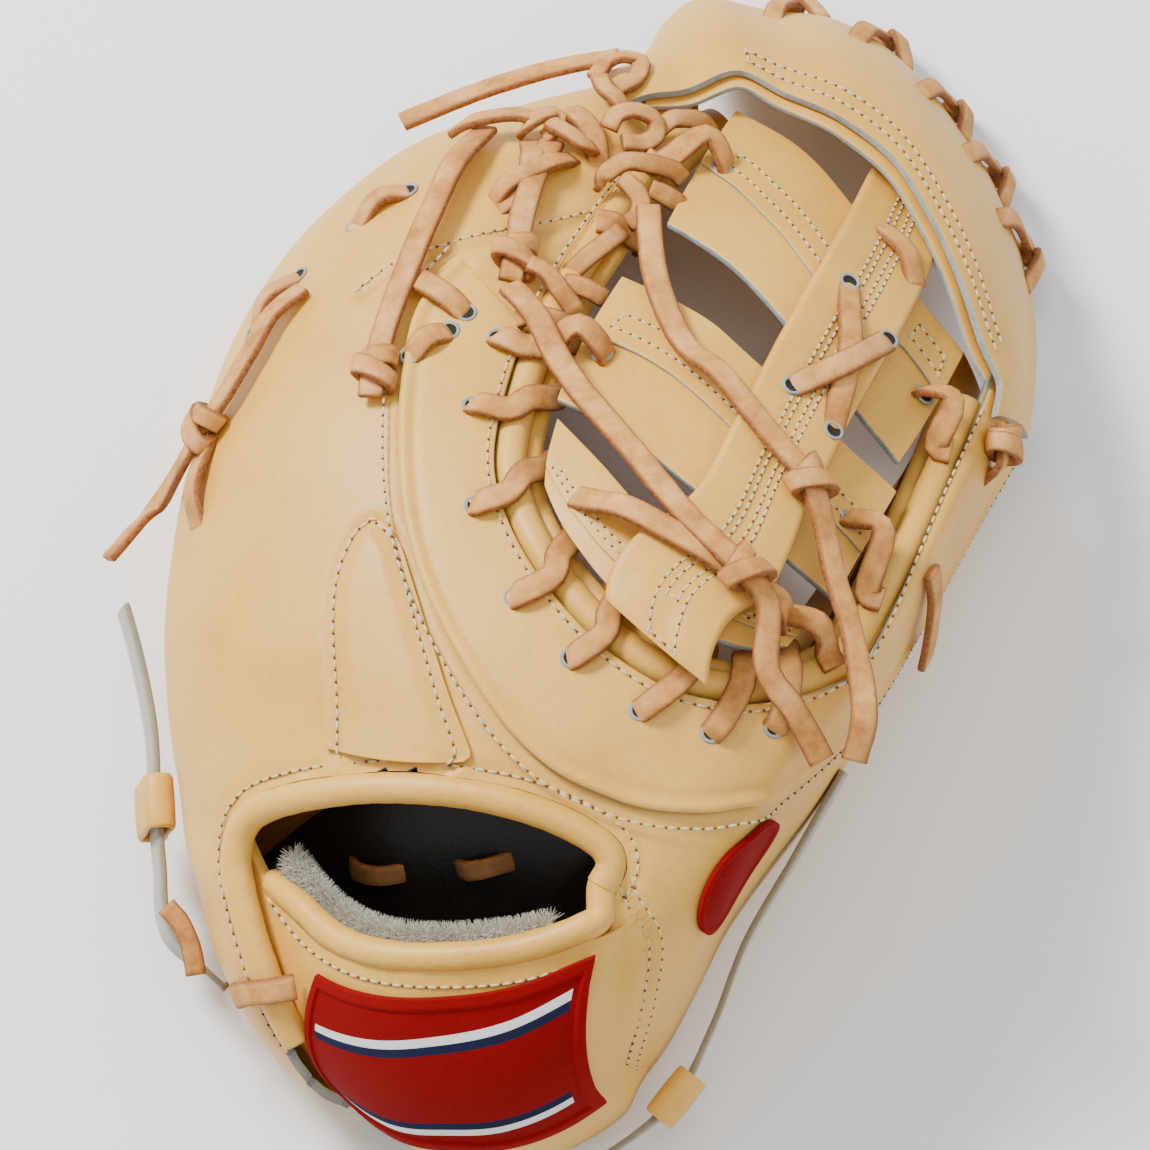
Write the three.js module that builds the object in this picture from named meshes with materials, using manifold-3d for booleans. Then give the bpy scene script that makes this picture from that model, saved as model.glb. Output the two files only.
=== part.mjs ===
// A first baseman's mitt for the left hand, lying on its pocket with its back up.
// Millimetres. X runs across the hand to the thumb, Y from the wrist to the finger tips, Z up.
import * as THREE from "three";
import { mergeVertices } from "three/addons/utils/BufferGeometryUtils.js";
import Module from "manifold-3d";

const wasm = await Module();
wasm.setup();

// Sections along the body, shared by the shells and the bindings so that their facets run side by side
const bodySteps = 42;

// Overall sizes of the mitt's form
const mittLength = 320;
const mittWidth = 230;
const mittDepth = 115;

// Leather and lining thicknesses
const backThickness = 2.4;
const palmThickness = 4.5;
const linerThickness = 1.2;
const panelThickness = 1.6;
const padThickness = 1.2;
const strapThickness = 3.2;
const fleeceThickness = 2.4;
const patchThickness = 1.2;
const bandThickness = 2.2;
const bandLiningThickness = 1.6;
const barThickness = 3;
const postThickness = 5;
const keeperThickness = 1.8;
const adjustThickness = 1.8;
const adjustWidth = 12;
const laceWidth = 6.4;
const laceThickness = 2.2;

// Rolled edges
const backBindingRadius = 3.1;
const palmBindingRadius = 2.6;
const openingRollRadius = 3.1;
const strapRollRadius = 2.8;

// Clearances: between pieces that touch, and between layers that follow the same curved face
const fitGap = 0.3;
const layerGap = 0.6;

// Height of the flat that the rims wear where the mitt rests
const restFlat = 1;

// Where on a section, from the notch to the rim, the body is widest
const wideAt = 0.78;

// The body, section by section from the finger tip round the heel to the thumb tip.
// Shares of the width, length and depth: notch edge, widest place and rim, then how full the palm is.
const bodyColumns = {
  edge: 0, wide: 3, rim: 6, palmFull: 9,
};
const bodyTable = [
  [0.150, 0.425, 0.40, 0.140, 0.462, 0.30, 0.142, 0.450, 0.07, 1.10],
  [0.085, 0.365, 0.52, 0.040, 0.444, 0.30, 0.045, 0.425, 0.03, 1.10],
  [0.015, 0.276, 0.66, -0.086, 0.416, 0.30, -0.075, 0.395, 0.00, 1.12],
  [-0.042, 0.187, 0.77, -0.216, 0.371, 0.31, -0.200, 0.352, 0.00, 1.15],
  [-0.076, 0.103, 0.84, -0.349, 0.263, 0.33, -0.325, 0.250, 0.00, 1.15],
  [-0.084, 0.033, 0.89, -0.421, 0.125, 0.35, -0.395, 0.122, 0.00, 1.20],
  [-0.050, -0.035, 0.92, -0.450, -0.019, 0.37, -0.424, -0.015, 0.00, 1.30],
  [0.014, -0.096, 0.94, -0.432, -0.152, 0.38, -0.408, -0.140, 0.00, 1.45],
  [0.080, -0.132, 0.94, -0.387, -0.289, 0.38, -0.360, -0.262, 0.00, 1.55],
  [0.135, -0.144, 0.925, -0.298, -0.384, 0.37, -0.268, -0.345, 0.00, 1.60],
  [0.182, -0.146, 0.905, -0.101, -0.442, 0.35, -0.096, -0.400, 0.00, 1.60],
  [0.228, -0.138, 0.88, 0.070, -0.382, 0.35, 0.066, -0.345, 0.00, 1.55],
  [0.265, -0.126, 0.85, 0.173, -0.255, 0.37, 0.160, -0.232, 0.00, 1.40],
  [0.298, -0.106, 0.82, 0.287, -0.142, 0.37, 0.270, -0.122, 0.00, 1.20],
  [0.352, -0.030, 0.735, 0.369, -0.032, 0.33, 0.350, -0.020, 0.00, 1.10],
  [0.405, 0.060, 0.63, 0.437, 0.064, 0.30, 0.418, 0.072, 0.02, 1.10],
  [0.472, 0.199, 0.43, 0.492, 0.141, 0.23, 0.478, 0.150, 0.07, 1.10],
];

// Where along the body the two sides of the notch meet
const crotchAt = 0.6;

// How far the web arches up in its middle and at its ends, and how far its top reaches out
const webRise = 12;
const webEndRise = 1;
const webReach = 15;

// The band over the web, from its finger end to its thumb end, as shares of width, length and depth
const bandColumns = { inner: 0, outer: 3 };
const bandTable = [
  [0.036, 0.388, 0.554, 0.038, 0.436, 0.47],
  [0.079, 0.403, 0.546, 0.078, 0.470, 0.34],
  [0.125, 0.411, 0.530, 0.105, 0.525, 0.19],
  [0.182, 0.426, 0.540, 0.147, 0.558, 0.10],
  [0.236, 0.404, 0.555, 0.221, 0.549, 0.085],
  [0.299, 0.377, 0.585, 0.303, 0.542, 0.08],
  [0.356, 0.342, 0.585, 0.382, 0.504, 0.08],
  [0.396, 0.293, 0.585, 0.448, 0.442, 0.08],
  [0.427, 0.239, 0.585, 0.497, 0.375, 0.08],
  [0.450, 0.187, 0.570, 0.526, 0.288, 0.095],
  [0.469, 0.156, 0.550, 0.524, 0.213, 0.19],
  [0.462, 0.127, 0.560, 0.506, 0.136, 0.34],
];

// How round the band's section is, from 0 for straight to 1 for a quarter turn
const bandRoundness = 0.55;

const size = new THREE.Vector3(mittWidth, mittLength, mittDepth);
const up = new THREE.Vector3(0, 0, 1);

// Smooth row of a table at a share of its length
function rowAt(table, share) {
  const last = table.length - 1;
  const place = THREE.MathUtils.clamp(share, 0, 1) * last;
  const i = Math.min(Math.floor(place), last - 1);
  const f = place - i;
  return table[i].map((here, column) => {
    const next = table[i + 1][column];
    const before = i > 0 ? table[i - 1][column] : 2 * here - next;
    const after = i + 2 <= last ? table[i + 2][column] : 2 * next - here;
    const bend = 2 * before - 5 * here + 4 * next - after;
    const twist = 3 * here - before - 3 * next + after;
    return here + 0.5 * f * (next - before + f * (bend + f * twist));
  });
}

// A place from three shares that stand in a row from a column on
function placeIn(row, column = 0) {
  return new THREE.Vector3(row[column], row[column + 1], row[column + 2]).multiply(size);
}

// The outer face of the body: along from finger to thumb, down from the notch to the rim
function bodyPoint(along, down) {
  const row = rowAt(bodyTable, along);
  const edge = placeIn(row, bodyColumns.edge);
  const wide = placeIn(row, bodyColumns.wide);
  const rim = placeIn(row, bodyColumns.rim);
  const over = (Math.PI / 2) * Math.min(down / wideAt, 1);
  const under = (Math.PI / 2) * THREE.MathUtils.clamp((down - wideAt) / (1 - wideAt), 0, 1);
  const point = edge.clone().lerp(wide, Math.sin(over));
  point.z = wide.z + (edge.z - wide.z) * Math.cos(over);
  const curl = rim.clone().sub(wide);
  point.x += curl.x * (1 - Math.cos(under));
  point.y += curl.y * (1 - Math.cos(under));
  point.z += curl.z * Math.sin(under);
  return point;
}

// The notch edge, its direction on the level and the level direction inward over the notch
function notchFrame(along) {
  const step = 0.01;
  const edgeAt = (share) => placeIn(rowAt(bodyTable, share), bodyColumns.edge);
  const heading = edgeAt(Math.min(along + step, 1)).sub(edgeAt(Math.max(along - step, 0)));
  heading.setZ(0).normalize();
  return { edge: edgeAt(along), heading, inward: new THREE.Vector3(-heading.y, heading.x, 0) };
}

// The two bindings lie side by side along the notch, the palm's lower and further in
const bindingLean = new THREE.Vector2(0.8, -0.6);
const backBindingIn = backBindingRadius + 2 * layerGap;
const bindingStep = backBindingRadius + palmBindingRadius + fitGap;
const palmBindingIn = backBindingIn + bindingStep * bindingLean.x;
const backBindingDrop = 1;
const palmBindingDrop = backBindingDrop - bindingStep * bindingLean.y;
const palmEdgeDrop = palmBindingDrop + palmBindingRadius + layerGap;

// How far the palm leather stands off the back on the thumb's side, to leave room for the thumb
const thumbRoom = 14;

// The upper face of the palm leather, from under the bindings to the rim
function palmPoint(along, down) {
  const row = rowAt(bodyTable, along);
  const { edge, inward } = notchFrame(along);
  const start = edge.addScaledVector(inward, palmBindingIn);
  start.z -= palmEdgeDrop;
  const end = placeIn(row, bodyColumns.rim).addScaledVector(inward, layerGap);
  const over = (Math.PI / 2) * THREE.MathUtils.clamp(down, 0, 1);
  const point = start.clone().lerp(end, Math.sin(over));
  point.z = end.z + (start.z - end.z) * Math.cos(over) ** row[bodyColumns.palmFull];
  const ofThumb = THREE.MathUtils.clamp((along - crotchAt) / (1 - crotchAt), 0, 1);
  const belly = Math.sin(Math.PI * THREE.MathUtils.clamp(down, 0, 1)) ** 2;
  return point.addScaledVector(inward, thumbRoom * Math.sin(Math.PI * ofThumb) * belly);
}

// The middle layer of the web: up from the crotch, across from the finger side to the thumb side
function webPoint(rise, across) {
  const left = bodyPoint(crotchAt * (1 - rise), 0);
  const right = bodyPoint(crotchAt + (1 - crotchAt) * rise, 0);
  const chord = right.clone().sub(left).setZ(0);
  const outward = new THREE.Vector3(-chord.y, chord.x, 0).normalize();
  const arch = Math.sin(Math.PI * across);
  const point = left.lerp(right, across).addScaledVector(outward, arch * webReach * rise ** 2);
  point.z += arch * (webEndRise + webRise * Math.sin(Math.PI * rise));
  return point;
}

// The outer face of the web's band: along it, and from its inner edge to its outer edge
function bandPoint(along, down) {
  const row = rowAt(bandTable, along);
  const inner = placeIn(row, bandColumns.inner);
  const outer = placeIn(row, bandColumns.outer);
  const turn = (Math.PI / 2) * down;
  const round = inner.clone().lerp(outer, Math.sin(turn));
  round.z = outer.z + (inner.z - outer.z) * Math.cos(turn);
  return inner.lerp(outer, down).lerp(round, bandRoundness);
}

// Each face with the sign that turns its normal outward
const faces = {
  body: { at: bodyPoint, outward: 1 },
  palm: { at: palmPoint, outward: 1 },
  web: { at: webPoint, outward: 1 },
  band: { at: bandPoint, outward: -1 },
};

function normalOn(face, a, b) {
  const step = 0.002;
  const { at, outward } = faces[face];
  const acrossA = at(Math.min(a + step, 1), b).sub(at(Math.max(a - step, 0), b));
  const acrossB = at(a, Math.min(b + step, 1)).sub(at(a, b - step));
  return acrossB.cross(acrossA).multiplyScalar(outward).normalize();
}

function raised(face, a, b, lift) {
  return faces[face].at(a, b).addScaledVector(normalOn(face, a, b), lift);
}

// A closed body from rings of points, each ring joined to the next, the ends capped unless it closes
function skin(rings, closed = false) {
  const count = rings[0].length;
  const positions = rings.flat().flatMap((point) => point.toArray());
  const triangles = [];
  const turns = closed ? rings.length : rings.length - 1;
  for (let i = 0; i < turns; i += 1) {
    for (let j = 0; j < count; j += 1) {
      const a = i * count + j;
      const b = i * count + ((j + 1) % count);
      const c = ((i + 1) % rings.length) * count + j;
      const d = ((i + 1) % rings.length) * count + ((j + 1) % count);
      triangles.push(a, b, d, a, d, c);
    }
  }
  if (!closed) {
    const flip = (rings.length - 1) * count;
    for (let j = 1; j < count - 1; j += 1) {
      triangles.push(0, j + 1, j);
      triangles.push(flip, flip + j, flip + j + 1);
    }
  }
  return facingOut(positions, triangles);
}

// Turns a closed set of triangles so that its faces point out
function facingOut(positions, triangles) {
  const corner = (i) => new THREE.Vector3().fromArray(positions, 3 * i);
  let volume = 0;
  for (let i = 0; i < triangles.length; i += 3) {
    const [a, b, c] = [corner(triangles[i]), corner(triangles[i + 1]), corner(triangles[i + 2])];
    volume += a.dot(b.cross(c));
  }
  const turned = volume < 0 ? triangles.slice().reverse() : triangles;
  const geometry = new THREE.BufferGeometry();
  geometry.setAttribute("position", new THREE.Float32BufferAttribute(positions, 3));
  geometry.setIndex(turned);
  return geometry;
}

// A sheet of leather on a face: region gives its place from two shares, low and high its two sides
function slab({ face, region, steps, low, high, floor = -Infinity }) {
  const [alongSteps, acrossSteps] = steps;
  const lowAt = typeof low === "function" ? low : () => low;
  const highAt = typeof high === "function" ? high : () => high;
  const rings = [];
  for (let i = 0; i <= alongSteps; i += 1) {
    const u = i / alongSteps;
    const top = [];
    const bottom = [];
    for (let j = 0; j <= acrossSteps; j += 1) {
      const v = j / acrossSteps;
      const [a, b] = region(u, v);
      top.push(raised(face, a, b, highAt(u, v)));
      bottom.unshift(raised(face, a, b, lowAt(u, v)));
    }
    const ring = [...top, ...bottom];
    ring.forEach((point) => point.setZ(Math.max(point.z, floor)));
    rings.push(ring);
  }
  return gridBody(rings, acrossSteps);
}

// Joins the rings of a slab, and closes its two ends with strips rather than fans
function gridBody(rings, acrossSteps) {
  const count = rings[0].length;
  const positions = rings.flat().flatMap((point) => point.toArray());
  const triangles = [];
  for (let i = 0; i < rings.length - 1; i += 1) {
    for (let j = 0; j < count; j += 1) {
      const a = i * count + j;
      const b = i * count + ((j + 1) % count);
      triangles.push(a, b, b + count, a, b + count, a + count);
    }
  }
  const flip = (rings.length - 1) * count;
  for (let j = 0; j < acrossSteps; j += 1) {
    const a = j;
    const b = j + 1;
    const c = count - 2 - j;
    const d = count - 1 - j;
    triangles.push(a, c, b, a, d, c);
    triangles.push(flip + a, flip + b, flip + c, flip + a, flip + c, flip + d);
  }
  return facingOut(positions, triangles);
}

// A round cord of leather along points, with flat ends
function roll(points, radius, steps, sides = 8) {
  const path = new THREE.CatmullRomCurve3(points, false, "centripetal");
  const frames = path.computeFrenetFrames(steps, false);
  const rings = [];
  for (let i = 0; i <= steps; i += 1) {
    const centre = path.getPointAt(i / steps);
    rings.push(Array.from({ length: sides }, (unused, j) => {
      const turn = (2 * Math.PI * j) / sides;
      return centre.clone()
        .addScaledVector(frames.normals[i], radius * Math.cos(turn))
        .addScaledVector(frames.binormals[i], radius * Math.sin(turn));
    }));
  }
  return skin(rings);
}

// A flat strip along points, each with the direction its face looks to
function strip(stops, width, thickness, steps, closed = false) {
  const path = new THREE.CatmullRomCurve3(stops.map((stop) => stop.point), closed, "centripetal");
  const looks = new THREE.CatmullRomCurve3(stops.map((stop) => stop.look), closed, "centripetal");
  const count = closed ? steps : steps + 1;
  const rings = [];
  for (let i = 0; i < count; i += 1) {
    const share = path.getUtoTmapping(i / steps);
    const centre = path.getPoint(share);
    const along = path.getTangent(share);
    const side = along.clone().cross(looks.getPoint(share)).normalize();
    const look = side.clone().cross(along).normalize();
    const corner = (a, b) => centre.clone()
      .addScaledVector(side, (a * width) / 2)
      .addScaledVector(look, (b * thickness) / 2);
    rings.push([corner(-1, -1), corner(1, -1), corner(1, 1), corner(-1, 1)]);
  }
  return skin(rings, closed);
}

function toSolid(geometry) {
  const bare = geometry.clone();
  bare.deleteAttribute("normal");
  bare.deleteAttribute("uv");
  const merged = mergeVertices(bare, 1e-4);
  return new wasm.Manifold(new wasm.Mesh({
    numProp: 3,
    vertProperties: new Float32Array(merged.attributes.position.array),
    triVerts: new Uint32Array(merged.index.array),
  }));
}

function fromSolid(solid) {
  const mesh = solid.getMesh();
  const geometry = new THREE.BufferGeometry();
  geometry.setAttribute("position", new THREE.Float32BufferAttribute(mesh.vertProperties, 3));
  geometry.setIndex(Array.from(mesh.triVerts));
  return geometry;
}

// The largest piece of a solid; small off-cuts fall away
function largest(solid) {
  return fromSolid(solid.decompose().reduce((most, next) => (next.volume() > most.volume() ? next : most)));
}

function joined(geometries) {
  return largest(geometries.map(toSolid).reduce((whole, next) => whole.add(next)));
}

function cut(geometry, cutters) {
  return largest(cutters.map(toSolid).reduce((left, next) => left.subtract(next), toSolid(geometry)));
}

// Subdivides every triangle of a geometry, so that it can be bent over a curved face
function finer(geometry, rounds) {
  let positions = Array.from(geometry.attributes.position.array);
  for (let round = 0; round < rounds; round += 1) {
    const next = [];
    for (let i = 0; i < positions.length; i += 9) {
      const [a, b, c] = [0, 3, 6].map((k) => positions.slice(i + k, i + k + 3));
      const middle = (p, q) => p.map((value, k) => (value + q[k]) / 2);
      const [ab, bc, ca] = [middle(a, b), middle(b, c), middle(c, a)];
      next.push(...a, ...ab, ...ca, ...ab, ...b, ...bc, ...ca, ...bc, ...c, ...ab, ...bc, ...ca);
    }
    positions = next;
  }
  return positions;
}

// A block through the back, whose outline is drawn in shares along and down the body
function blockThrough(outline, depth) {
  const shape = new THREE.Shape(outline.map(([along, down]) => new THREE.Vector2(along, down)));
  const flat = new THREE.ExtrudeGeometry(shape, { depth: 1, bevelEnabled: false, curveSegments: 1 });
  const bent = [];
  const shares = finer(flat, 1);
  for (let i = 0; i < shares.length; i += 3) {
    const down = Math.min(shares[i + 1], 1);
    const point = raised("body", shares[i], down, (2 * shares[i + 2] - 1) * depth);
    point.z -= (shares[i + 1] - down) * mittDepth * 5;
    bent.push(...point.toArray());
  }
  const geometry = new THREE.BufferGeometry();
  geometry.setAttribute("position", new THREE.Float32BufferAttribute(bent, 3));
  const merged = mergeVertices(geometry, 1e-4);
  return facingOut(Array.from(merged.attributes.position.array), Array.from(merged.index.array));
}

// More places along a route of shares
function smoothRoute(route, count) {
  const line = new THREE.CatmullRomCurve3(
    route.map(([a, b]) => new THREE.Vector3(a, b, 0)), false, "centripetal");
  return line.getPoints(count).map((place) => [place.x, place.y]);
}

// A route on a face as points beside its line: aside along the face, and deep below it
function beside(face, route, aside, deep) {
  return route.map(([a, b], i) => {
    const before = route[Math.max(i - 1, 0)];
    const after = route[Math.min(i + 1, route.length - 1)];
    const heading = raised(face, ...after, 0).sub(raised(face, ...before, 0)).normalize();
    const out = normalOn(face, a, b);
    const side = out.clone().cross(heading).normalize();
    return raised(face, a, b, -deep).addScaledVector(side, aside);
  });
}

// A patch between two lines on a face: each row holds a place on the first line and one on the second
function between(table) {
  return (u, v) => {
    const [a0, b0, a1, b1] = rowAt(table, u);
    return [THREE.MathUtils.lerp(a0, a1, v), THREE.MathUtils.lerp(b0, b1, v)];
  };
}

// Materials
const leather = { color: 0xdebe86, roughness: 0.55, metalness: 0 };
const materials = {
  leather,
  palmLeather: { color: 0xc9a56c, roughness: 0.6, metalness: 0 },
  lace: { color: 0xe1bd9a, roughness: 0.8, metalness: 0 },
  liner: { color: 0x15130f, roughness: 0.7, metalness: 0 },
  fleece: { color: 0xc3c3b4, roughness: 1, metalness: 0 },
  suede: { color: 0x8f8566, roughness: 0.95, metalness: 0 },
  patchCloth: { color: 0xc01522, roughness: 0.85, metalness: 0 },
};

const mitt = new THREE.Group();
mitt.name = "first_base_mitt";
const pieces = new THREE.Group();
mitt.add(pieces);

function addPiece(name, geometry, look) {
  const mesh = new THREE.Mesh(geometry, new THREE.MeshStandardMaterial(materials[look]));
  mesh.name = name;
  pieces.add(mesh);
}

// Palm leather, its padding towards the pocket
addPiece("palm_shell", slab({
  face: "palm",
  region: (u, v) => [u, v],
  steps: [bodySteps, 5],
  low: -palmThickness,
  high: 0,
  floor: restFlat,
}), "palmLeather");

// Black lining on the palm inside the hand opening
const linerLift = 1.7;
const linerTable = [
  [0.475, 0.10, 0.475, 0.78],
  [0.68, 0.10, 0.68, 0.78],
];
addPiece("hand_liner", slab({
  face: "palm",
  region: between(linerTable),
  steps: [8, 4],
  low: linerLift,
  high: linerLift + linerThickness,
}), "liner");

// Seam where the opening's roll meets the back, from the strap's left end round to its right end
const openingSeam = [
  [0.555, 0.691], [0.537, 0.653], [0.517, 0.630], [0.498, 0.612], [0.482, 0.595], [0.471, 0.565],
  [0.465, 0.516], [0.465, 0.451], [0.472, 0.355], [0.490, 0.249], [0.528, 0.183], [0.570, 0.168],
  [0.602, 0.180], [0.618, 0.210], [0.622, 0.245],
];
// Where the back ends under the wrist strap, from the seam's right end down to the rim and back
const underStrap = [
  [0.640, 0.360], [0.655, 0.480], [0.662, 0.720], [0.662, 1.02], [0.590, 1.02],
];
const openingDepth = 9;
const openingLine = smoothRoute(openingSeam, 20);

addPiece("back_shell", cut(slab({
  face: "body",
  region: (u, v) => [u, v],
  steps: [bodySteps, 7],
  low: -backThickness,
  high: 0,
  floor: restFlat,
}), [blockThrough([...openingLine, ...underStrap], openingDepth)]), "leather");

addPiece("opening_roll", roll(
  beside("body", openingLine, -(openingRollRadius + layerGap), backThickness / 2),
  openingRollRadius, 22, 6), "leather");

// Leather laid over the back around the web notch: places on its outer seam
const panelTable = [
  [0.205, 0.181], [0.237, 0.194], [0.274, 0.170], [0.313, 0.152], [0.364, 0.149], [0.424, 0.150],
  [0.480, 0.148], [0.538, 0.144], [0.587, 0.141], [0.645, 0.144], [0.711, 0.197], [0.786, 0.372],
  [0.840, 0.560], [0.905, 0.660], [0.990, 0.690],
];
const panelLift = layerGap + 0.4;
const panelTop = panelLift + panelThickness;
addPiece("web_side_panel", slab({
  face: "body",
  region: (u, v) => {
    const [along, down] = rowAt(panelTable, u);
    return [along, down * (0.01 + 0.99 * v)];
  },
  steps: [36, 4],
  low: panelLift,
  high: panelTop,
}), "leather");

// Stitched pad over the middle of the back, from the opening up to its round end:
// places on its left and right sides
const padTable = [
  [0.460, 0.350, 0.495, 0.206], [0.440, 0.330, 0.490, 0.194], [0.402, 0.298, 0.455, 0.182],
  [0.378, 0.270, 0.420, 0.170], [0.360, 0.235, 0.392, 0.162], [0.354, 0.208, 0.372, 0.162],
  [0.352, 0.190, 0.360, 0.170],
];
addPiece("finger_pad", slab({
  face: "body",
  region: between(padTable),
  steps: [10, 2],
  low: layerGap,
  high: layerGap + padThickness,
}), "leather");

// Centres of the two bindings at a place along the notch
function bindingCentre(along, aside, drop) {
  const { edge, inward } = notchFrame(along);
  return edge.addScaledVector(inward, aside).addScaledVector(up, -drop);
}

// A roll along the notch, with a ring at each section of the body
function binding(aside, drop, radius) {
  const sides = 6;
  const rings = [];
  for (let i = 1; i < bodySteps; i += 1) {
    const along = i / bodySteps;
    const { inward } = notchFrame(along);
    const centre = bindingCentre(along, aside, drop);
    rings.push(Array.from({ length: sides }, (unused, j) => {
      const turn = (2 * Math.PI * j) / sides;
      return centre.clone()
        .addScaledVector(inward, radius * Math.cos(turn))
        .addScaledVector(up, radius * Math.sin(turn));
    }));
  }
  return skin(rings);
}
addPiece("back_binding", binding(backBindingIn, backBindingDrop, backBindingRadius), "leather");
addPiece("palm_binding", binding(palmBindingIn, palmBindingDrop, palmBindingRadius), "leather");

// Wrist strap across the heel: places on its upper edge and on its lower edge
const strapTable = [
  [0.486, 0.560, 0.552, 0.735], [0.512, 0.528, 0.568, 0.765], [0.540, 0.483, 0.588, 0.775],
  [0.563, 0.440, 0.606, 0.775], [0.584, 0.392, 0.624, 0.770], [0.603, 0.348, 0.646, 0.790],
  [0.620, 0.308, 0.668, 0.800], [0.642, 0.285, 0.690, 0.775],
];
// The strap dives under the opening's roll at its left end and lies on the back at its right end
const strapDive = -(backThickness / 2 + openingRollRadius + 6 * fitGap);
const strapTop = 1.5 * layerGap + strapThickness;
const strapClimb = { from: 0.08, to: 0.55 };
function strapHeight(u) {
  const climb = THREE.MathUtils.smoothstep(u, strapClimb.from, strapClimb.to);
  return THREE.MathUtils.lerp(strapDive, strapTop, climb);
}
// Below the part that carries the patch the strap goes on down towards the rim
const strapFoot = 0.88;
const strapSteps = [12, 6];
const footSteps = 2;
const footFrom = 1 - footSteps / strapSteps[1];
const strapRegion = (u, v) => {
  const [along, down] = between(strapTable)(u, Math.min(v / footFrom, 1));
  return [along, THREE.MathUtils.lerp(down, strapFoot, Math.max(0, (v - footFrom) / (1 - footFrom)))];
};
addPiece("wrist_strap", slab({
  face: "body",
  region: strapRegion,
  steps: strapSteps,
  low: (u) => strapHeight(u) - strapThickness,
  high: strapHeight,
}), "leather");

// Rolled upper border of the strap
const strapEdge = strapTable.map(([a, b]) => [a, b]);
const strapEdgeDepth = strapEdge.map((unused, i) => (
  strapThickness / 2 - strapHeight(i / (strapEdge.length - 1))
));
addPiece("strap_roll", roll(
  strapEdge.map((place, i) => (
    beside("body", strapEdge, strapRollRadius + fitGap, strapEdgeDepth[i])[i]
  )).slice(1, -1),
  strapRollRadius, 16, 6), "leather");

// Fleece on the strap's inner face, showing above its roll
const fleeceRise = 0.055;
const fleeceTable = strapTable.slice(0, 6).map(([a, b, c, d]) => (
  [a, b - fleeceRise, THREE.MathUtils.lerp(a, c, 0.4), THREE.MathUtils.lerp(b, d, 0.4)]
));
const fleeceDrop = strapThickness + 2 * layerGap + 0.2;
addPiece("strap_fleece", slab({
  face: "body",
  region: between(fleeceTable),
  steps: [8, 3],
  low: (u) => strapHeight(0.7 * u) - fleeceDrop - fleeceThickness,
  high: (u) => strapHeight(0.7 * u) - fleeceDrop,
}), "fleece");

// Embroidered patch on the strap: shares of the strap's length and width on its upper and its lower edge
const patchTable = [
  [0.28, 0.12, 0.23, 0.95], [0.48, 0.10, 0.41, 0.85], [0.69, 0.07, 0.64, 0.74], [0.90, 0.04, 0.93, 0.67],
];
const patchLift = 1.4 * layerGap;
const patchHeight = (u, v) => strapHeight(between(patchTable)(u, v)[0]) + patchLift;
addPiece("wrist_patch", slab({
  face: "body",
  region: (u, v) => between(strapTable)(...between(patchTable)(u, v)),
  steps: [8, 4],
  low: patchHeight,
  high: (u, v) => patchHeight(u, v) + patchThickness,
}), "patchCloth");

// The share step on a face that moves its point by a given vector
function stepOn(face, a, b, vector) {
  const step = 0.002;
  const { at } = faces[face];
  const alongA = at(a + step, b).sub(at(a - step, b)).divideScalar(2 * step);
  const alongB = at(a, b + step).sub(at(a, b - step)).divideScalar(2 * step);
  const [aa, ab, bb] = [alongA.dot(alongA), alongA.dot(alongB), alongB.dot(alongB)];
  const [av, bv] = [alongA.dot(vector), alongB.dot(vector)];
  const det = aa * bb - ab * ab;
  return [(bb * av - ab * bv) / det, (aa * bv - ab * av) / det];
}

// Oval patch on the thumb side: its centre on the body and its half axes
const ovalPatch = { along: 0.722, down: 0.385, long: 17.5, short: 11.5, heading: [0.72, 0.62, -0.3] };
function ovalOn({ along, down, long, short, heading }, low, high) {
  const out = normalOn("body", along, down);
  const major = new THREE.Vector3(...heading).projectOnPlane(out).normalize();
  const minor = out.clone().cross(major);
  const sides = 16;
  const spot = (turn, radius, lift) => {
    const vector = major.clone().multiplyScalar(long * radius * Math.cos(turn))
      .addScaledVector(minor, short * radius * Math.sin(turn));
    const [da, db] = stepOn("body", along, down, vector);
    return raised("body", along + da, down + db, lift);
  };
  const ringAt = (radius, lift) => Array.from({ length: sides }, (unused, i) => (
    spot((2 * Math.PI * i) / sides, radius, lift)
  ));
  const hub = 0.08;
  return skin([ringAt(hub, high), ringAt(0.55, high), ringAt(1, high),
    ringAt(1, low), ringAt(0.55, low), ringAt(hub, low)], false);
}
addPiece("thumb_patch", ovalOn(ovalPatch, layerGap, layerGap + patchThickness), "patchCloth");

// Bars and base of the web: places on the lower and on the upper edge, from left to right
const bars = {
  web_bar_upper: [
    [0.823, 0.144, 0.984, 0.085], [0.816, 0.310, 0.968, 0.273], [0.800, 0.483, 0.942, 0.459],
    [0.791, 0.616, 0.931, 0.605], [0.789, 0.742, 0.930, 0.739], [0.794, 0.864, 0.945, 0.895],
  ],
  web_bar_lower: [
    [0.604, 0.120, 0.750, 0.130], [0.597, 0.282, 0.750, 0.324], [0.578, 0.468, 0.740, 0.495],
    [0.576, 0.615, 0.741, 0.632], [0.579, 0.754, 0.744, 0.752], [0.584, 0.880, 0.762, 0.890],
  ],
  web_base: [
    [0.490, 0.135, 0.582, 0.135], [0.415, 0.190, 0.549, 0.261], [0.340, 0.280, 0.502, 0.427],
    [0.310, 0.480, 0.495, 0.597], [0.330, 0.720, 0.499, 0.755], [0.410, 0.840, 0.540, 0.855],
  ],
};
Object.entries(bars).forEach(([name, table]) => addPiece(name, slab({
  face: "web",
  region: between(table),
  steps: [10, 3],
  low: -barThickness / 2,
  high: barThickness / 2,
}), "leather"));

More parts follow.
